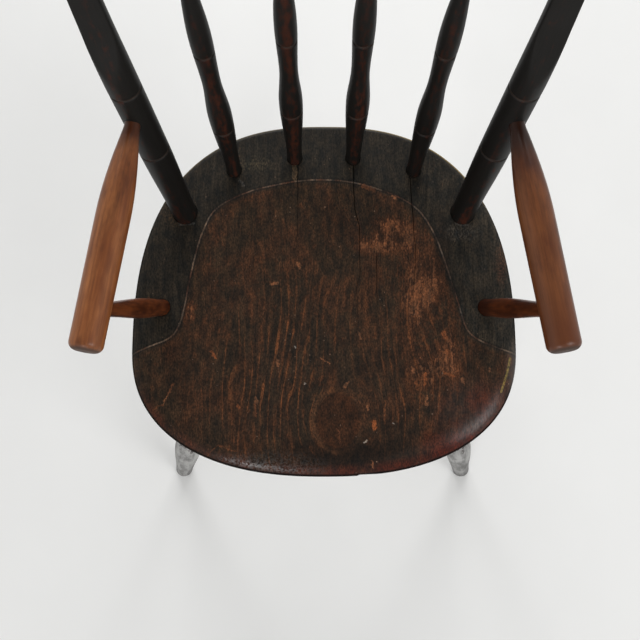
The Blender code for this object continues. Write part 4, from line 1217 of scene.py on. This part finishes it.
# Scratches and chips by colour, and the pinstripe left at the right: start, end and width of each
TAN = (0.164, 0.072, 0.034)
RUST = (0.164, 0.056, 0.021)
ORANGE = (0.290, 0.088, 0.027)
BROWN = (0.105, 0.041, 0.018)
CHALK = (0.270, 0.245, 0.210)
OLIVE = (0.095, 0.066, 0.038)
GREY = (0.056, 0.053, 0.047)
YELLOW = (0.165, 0.130, 0.036)
MARKS = (
    (BROWN, (
        ((-134, -101), (-139, -112), 1.2), ((-142, -119), (-152, -124), 1.2), ((-61, -117), (-61, -130), 1.5),
        ((54, -116), (53, -136), 1.1), ((-104, -164), (-93, -155), 0.9), ((-93, -155), (-77, -160), 0.9),
        ((12, -140), (15, -156), 1.1), ((36, 82), (46, 78), 3.4),
    )),
    (TAN, (
        ((-139, -112), (-142, -119), 1.0), ((-42, -80), (-41, -84), 2.7), ((-61, -113), (-60, -117), 2.9),
        ((-3, -76), (5, -83), 0.8), ((18, -103), (21, -99), 2.2), ((91, -113), (91, -119), 2.2),
        ((123, -96), (124, -99), 2.1), ((147, -86), (148, -89), 1.6), ((38, -119), (39, -124), 1.8),
        ((32, -53), (33, -59), 1.9), ((42, -169), (43, -173), 1.4), ((-48, -9), (-43, -8), 3.0),
        ((-24, 10), (-22, 7), 2.7), ((63, 72), (66, 70), 1.8),
    )),
    (RUST, (
        ((-101, -72), (-97, -77), 2.2), ((-77, -119), (-75, -122), 2.2), ((107, -55), (109, -59), 3.0),
        ((111, -71), (112, -76), 3.2), ((108, -91), (116, -94), 2.4), ((82, -100), (84, -105), 3.5),
        ((90, -92), (90, -101), 2.6),
    )),
    (ORANGE, (((44, -135), (44, -140), 3.9),)),
    (OLIVE, (((-27, 101), (-27, 89), 3.6),)),
    (GREY, (((-132, 46), (-120, 46), 1.7), ((121, 46), (132, 45), 2.0), ((-78, 88), (-74, 83), 2.0))),
    (CHALK, (
        ((35, -152), (37, -151), 1.7), ((61, -135), (62, -136), 1.2), ((-26, -66), (-26, -67), 1.3),
        ((-17, -100), (-17, -101), 1.4),
    )),
)
PINSTRIPE = (((166, -78), (163, -91), 1.5), ((163, -91), (157, -108), 1.4))
KNOT = (12, -133)
KNOT_REACH = (21.5, 28)
KNOT_FLOW = 27.0
FIGURE_PITCH = 7.8


def plank_figure(place):
    """Distance across the growth lines, in millimetres, which flow round the knot as water round a post.

    It is dx less dx R^2 / (dx^2 + 0.64 dy^2 + R^2 / 4), where R is the knot's reach, and it drifts a little.
    """
    away = place - (*KNOT, 0)
    across = away.parts()[0]
    longer = away * (1, 0.8, 0)
    spread = longer.dot(longer) + KNOT_FLOW**2 / 4
    drift = place.noise(0.018, 2.0, 0.5, (1, 0.35, 0)) * 36.0 - 18.0
    return across + drift - across / (spread / KNOT_FLOW**2)


def growth_lines(place, figure):
    """Thin pale lines along the figure and the dark bands between, stronger and weaker along their length."""
    uneven = place.noise(0.10, 2.0, 0.5, (1, 0.10, 0))
    swing = (figure * (TAU / FIGURE_PITCH) + uneven * 9.0).work("SINE")
    broken = place.noise(0.11, 3.0, 0.5, (1, 0.20, 0)).step(0.36, 0.64)
    return swing.step(0.74, 0.98) * broken, swing.step(0.10, -0.85)


def patch(place, centre, reach):
    """An oval patch at a place in plan."""
    return use(PATCH, Place=place, Centre=(*centre, 0), Reach=(*reach, 1))["Mask"]


def patch_sum(place, patches, total=0.0):
    """Adds oval patches, each by its strength, to a value."""
    for centre, reach, strength in patches:
        total = patch(place, centre, reach) * strength + total
    return total


def stroke_union(place, strokes):
    """The strongest of several strokes at each place."""
    union = 0.0
    for start, end, width in strokes:
        mask = use(STROKE, Place=place, Start=(*start, 0), End=(*end, 0), Width=width)["Mask"]
        union = mask.most(union)
    return union


def seat_finish():
    """Black paint over red on the plank: whole on the deck, worn through along the grain in the saddle."""
    made, tree, inputs = new_finish("worn_seat", Specular_IOR_Level=0.12, Coat_Roughness=0.32)
    coords = coordinates(tree)
    x, y, z = coords.parts()
    place = coords * (1000, 1000, 1000)
    shaken = place.noise(0.22, 4.0, 0.75, output="Color") - (0.5, 0.5, 0.5)
    rough_place = shaken * (14, 14, 14) + place
    near_place = shaken * (8, 8, 8) + place
    figure = plank_figure(place)
    values = {0: figure * 0.001, 1: x * 0.12 + z, 2: y}
    flow = Wire(add_node(tree, "ShaderNodeCombineXYZ", values).outputs[0])
    wood = use(FIBRE, Place=flow)
    fibre = wood["Fibre"]
    groove, edge = field(tree, "groove"), field(tree, "edge")
    saddle = groove.step(-0.001, 0.006)
    stain = place.noise(0.035, 3.0, 0.6, (1, 0.6, 0))
    cloud = place.noise(0.065, 3.0, 0.6, (1, 0.5, 0))
    close = place.noise(0.80, 3.0, 0.75)
    fleck = place.noise(0.80, 3.0, 0.65, (1, 0.5, 0))

    # Worn paint, the knot with its pale border, and the growth lines
    wear = patch_sum(rough_place, SEAT_PATCHES, saddle * stain.step(0.35, 0.65, 0.04, 0.20))
    worn = use(WEAR, Place=flow, Fibre=fibre, Wear=wear, Scale=420.0)
    eye = patch(near_place, KNOT, KNOT_REACH)
    knot = eye.step(0.16, 0.42)
    border = eye.step(0.04, 0.12) * eye.step(0.30, 0.16) * x.step(0.024, -0.012, 0.08, 0.50)
    lined = patch_sum(rough_place, LINED_PATCHES) * knot.rest()
    lines, bands = (part * lined for part in growth_lines(place, figure))

    # Colours along the fibre, and what lies over them
    streak = fibre.step(0.26, 0.78) * cloud.step(0.30, 0.62, 0.50, 1.10) * knot.step(0.0, 1.0, 1.0, 0.3)
    deck = streak.mix((0.0104, 0.0094, 0.0071), (0.0252, 0.0218, 0.0160))
    dark = streak.mix((0.0175, 0.0125, 0.0080), (0.0385, 0.0235, 0.0130))
    red = streak.mix((0.0385, 0.0165, 0.0085), (0.0800, 0.0320, 0.0145))
    bare = streak.mix((0.0820, 0.0330, 0.0145), (0.1520, 0.0660, 0.0315))
    # Painted sheen: the deck's colour is lifted and cooled towards the right and slightly darkened elsewhere,
    # standing in for the front right lamp's sheen
    painted_sheen_tint = x.step(0.06, 0.16).mix((0.94, 0.94, 0.94), (1.34, 1.36, 1.38))
    colour = saddle.mix(deck.tinted(painted_sheen_tint), dark)
    for centre, reach, rubbed in DECK_SCUFFS:
        mask = patch(rough_place, centre, reach) * fleck.step(0.40, 0.62, 0.1, 0.8)
        colour = mask.mix(colour, rubbed)
    rosy = saddle * stain.step(0.40, 0.66, 0.0, 0.5)
    colour = layered(colour, (
        (rosy.most(worn["Under"] * 0.75), red),
        (patch_sum(rough_place, DARK_PATCHES), (0.0105, 0.0066, 0.0044)),
        (knot * 0.72, (0.0350, 0.0142, 0.0064)),
        (border, (0.1000, 0.0450, 0.0200)),
        (bands * 0.45, (0.0135, 0.0110, 0.0084)),
        (lines * 0.85, (0.1220, 0.0465, 0.0180)),
        (worn["Bare"], bare),
    ))

    # Red left on the front edge and at the right
    gloss = patch(rough_place, *GLOSS)
    front = edge.step(0.026, 0.006) * y.step(-0.09, -0.14)
    warm = edge.step(0.013, 0.003) * x.step(-0.05, 0.06, 0.45, 0.75) * front
    warm = patch(rough_place, *RED_EDGE) * 0.6 + warm
    oxblood = (gloss * 0.55).most(warm) * stain.step(0.28, 0.55, 0.25, 1.0)

    # Painted shade in a dark band beside the groove, and dust on its lips
    beside = groove.size()
    lit = place.noise(0.040, 3.0, 0.65, (1, 1, 0))
    lip = beside.step(0.0010, 0.0003) * lit.step(0.36, 0.60, 0.15, 1.0)
    dust = cloud.step(0.38, 0.60).mix((0.0640, 0.0300, 0.0185), (0.1120, 0.0850, 0.0620))
    colour = layered(colour, (
        (oxblood, (0.0600, 0.0108, 0.0052)),
        # painted shade along both sides of the groove
        (beside.step(0.0026, 0.0010, 0.0, 0.55), (0.0075, 0.0062, 0.0050)),
        (lip, dust),
    ))

    # Scratches, chips, the pinstripe and specks, then the mottle over everything
    ragged = close * 1.5
    for paint, strokes in MARKS:
        mark = stroke_union(near_place, strokes) + ragged
        colour = mark.step(1.16, 1.80, 0.0, 0.74).mix(colour, paint)
    stripe = stroke_union(place, PINSTRIPE) * close.step(0.34, 0.60, 0.3, 0.9)
    specks = use(SPECK, Place=place, Scale=0.22, Share=0.28)["Mask"]
    colour = layered(colour, ((stripe, YELLOW), (specks * 0.75, (0.190, 0.135, 0.098))))
    mottle = fleck.step(0.30, 0.70).mix((0.46, 0.49, 0.53), (1.64, 1.54, 1.46))
    blotch = place.noise(0.15, 4.0, 0.65, (1, 0.5, 0)).step(0.32, 0.68)
    colour = colour.tinted(mottle).tinted(blotch.mix((0.58, 0.65, 0.74), (1.50, 1.34, 1.24)))

    # Yellow edge behind, dark rim in front, and the plain underside
    top_edge = edge.step(0.0026, 0.0010) * z.step(SEAT_HEIGHT - 0.0035, SEAT_HEIGHT - 0.0015)
    behind = top_edge * y.step(0.05, 0.09)
    outer = edge.step(0.0026, 0.0012) * y.step(0.08, 0.03)
    bevel_top = SEAT_BOTTOM + UNDER_BEVEL_RISE
    plain = streak.mix((0.0420, 0.0260, 0.0150), (0.0900, 0.0560, 0.0320))
    plain = z.step(SEAT_BOTTOM + 0.0010, SEAT_BOTTOM + 0.0030).mix(plain, (0.0060, 0.0054, 0.0048))
    feed(inputs["Base Color"], layered(colour, (
        (behind * x.step(-0.02, 0.11, 0.25, 0.8), (0.2300, 0.1600, 0.0450)),
        (outer * y.step(-0.07, -0.12, 0.45, 0.9), (0.0034, 0.0028, 0.0026)),
        (z.step(bevel_top + 0.001, bevel_top - 0.002), plain),
    )))

    feed(inputs["Roughness"], outer * 0.5 + worn["Under"].step(0.0, 1.0, 0.50, 0.44))
    pits = patch(rough_place, *PITTED_GLOSS) * place.noise(0.50, 3.0, 0.65).step(0.42, 0.58)
    coat = gloss * fibre.step(0.30, 0.66, 0.35, 0.80) * 0.9 + (front * -0.05 + 0.05)
    feed(inputs["Coat Weight"], patch(place, *RIM_SHINE) * 0.8 + (pits + coat) * outer.rest())
    relief = lines * -0.5 + (fleck * 0.8 + (fibre * 0.6 + worn["Film"] * 0.6))
    bump(inputs, pits * 1.2 + relief, 0.00025, 0.6)
    return made


def floor_finish():
    """Pale seamless paper with a faint mottle."""
    made, tree, inputs = new_finish("studio_floor", Roughness=1.0, Specular_IOR_Level=0.0)
    mottle = coordinates(tree).noise(3.0, 4.0, 0.6).step(0.3, 0.7)
    feed(inputs["Base Color"], mottle.mix((0.815, 0.815, 0.805), (0.835, 0.835, 0.825)))
    return made


def make_floor():
    """A level floor, far wider than the view."""
    corners = np.array(((-1, -1, 0), (1, -1, 0), (1, 1, 0), (-1, 1, 0))) * FLOOR_REACH
    mesh = put_mesh("floor", corners, [[0, 1, 2, 3]], {})
    mesh.materials.append(floor_finish())
    floor = put_object("floor", mesh)


def make_light():
    """A pale surround that is dimmer overhead, two soft boxes in front and a wide one behind."""
    world = bpy.data.worlds.new("studio")
    bpy.context.scene.world = world
    world.use_nodes = True
    sky = world.node_tree.nodes["Background"].inputs
    rise = coordinates(world.node_tree, "Generated").parts()[2]
    feed(sky["Color"], rise.step(0.15, 0.95).mix((1.02, 1.02, 1.01), (0.44, 0.44, 0.44)))
    sky["Strength"].default_value = SKY_STRENGTH
    for name, place, size, power, aim_height in LAMPS:
        lamp = bpy.data.lights.new(name, "AREA")
        lamp.size = size
        lamp.energy = power
        held = put_object(name, lamp)
        held.location = place
        held.rotation_mode = "QUATERNION"
        toward = -held.location
        toward.z += aim_height
        held.rotation_quaternion = toward.to_track_quat("-Z", "Y")


def make_camera():
    """Over the seat's front edge, looking down and a little back."""
    lens = bpy.data.cameras.new("camera")
    lens.lens = CAMERA_LENS
    lens.sensor_width = CAMERA_SENSOR
    camera = put_object("camera", lens)
    camera.location = CAMERA_PLACE
    camera.rotation_euler = (CAMERA_TILT, 0.0, 0.0)
    bpy.context.scene.camera = camera


FIBRE = fibre_group()
WEAR = wear_group()
PATCH = patch_group()
STROKE = stroke_group()
SPECK = speck_group()
FINISHES = {
    "black_paint": paint_finish(),
    "bare_wood": arm_finish(),
    "red_brown": post_finish(),
    "worn_seat": seat_finish(),
}

make_seat(make_underframe() + make_back() + [make_arm(*side) for side in SIDES])
make_floor()
make_light()
make_camera()
bpy.context.scene.view_settings.view_transform = "Standard"
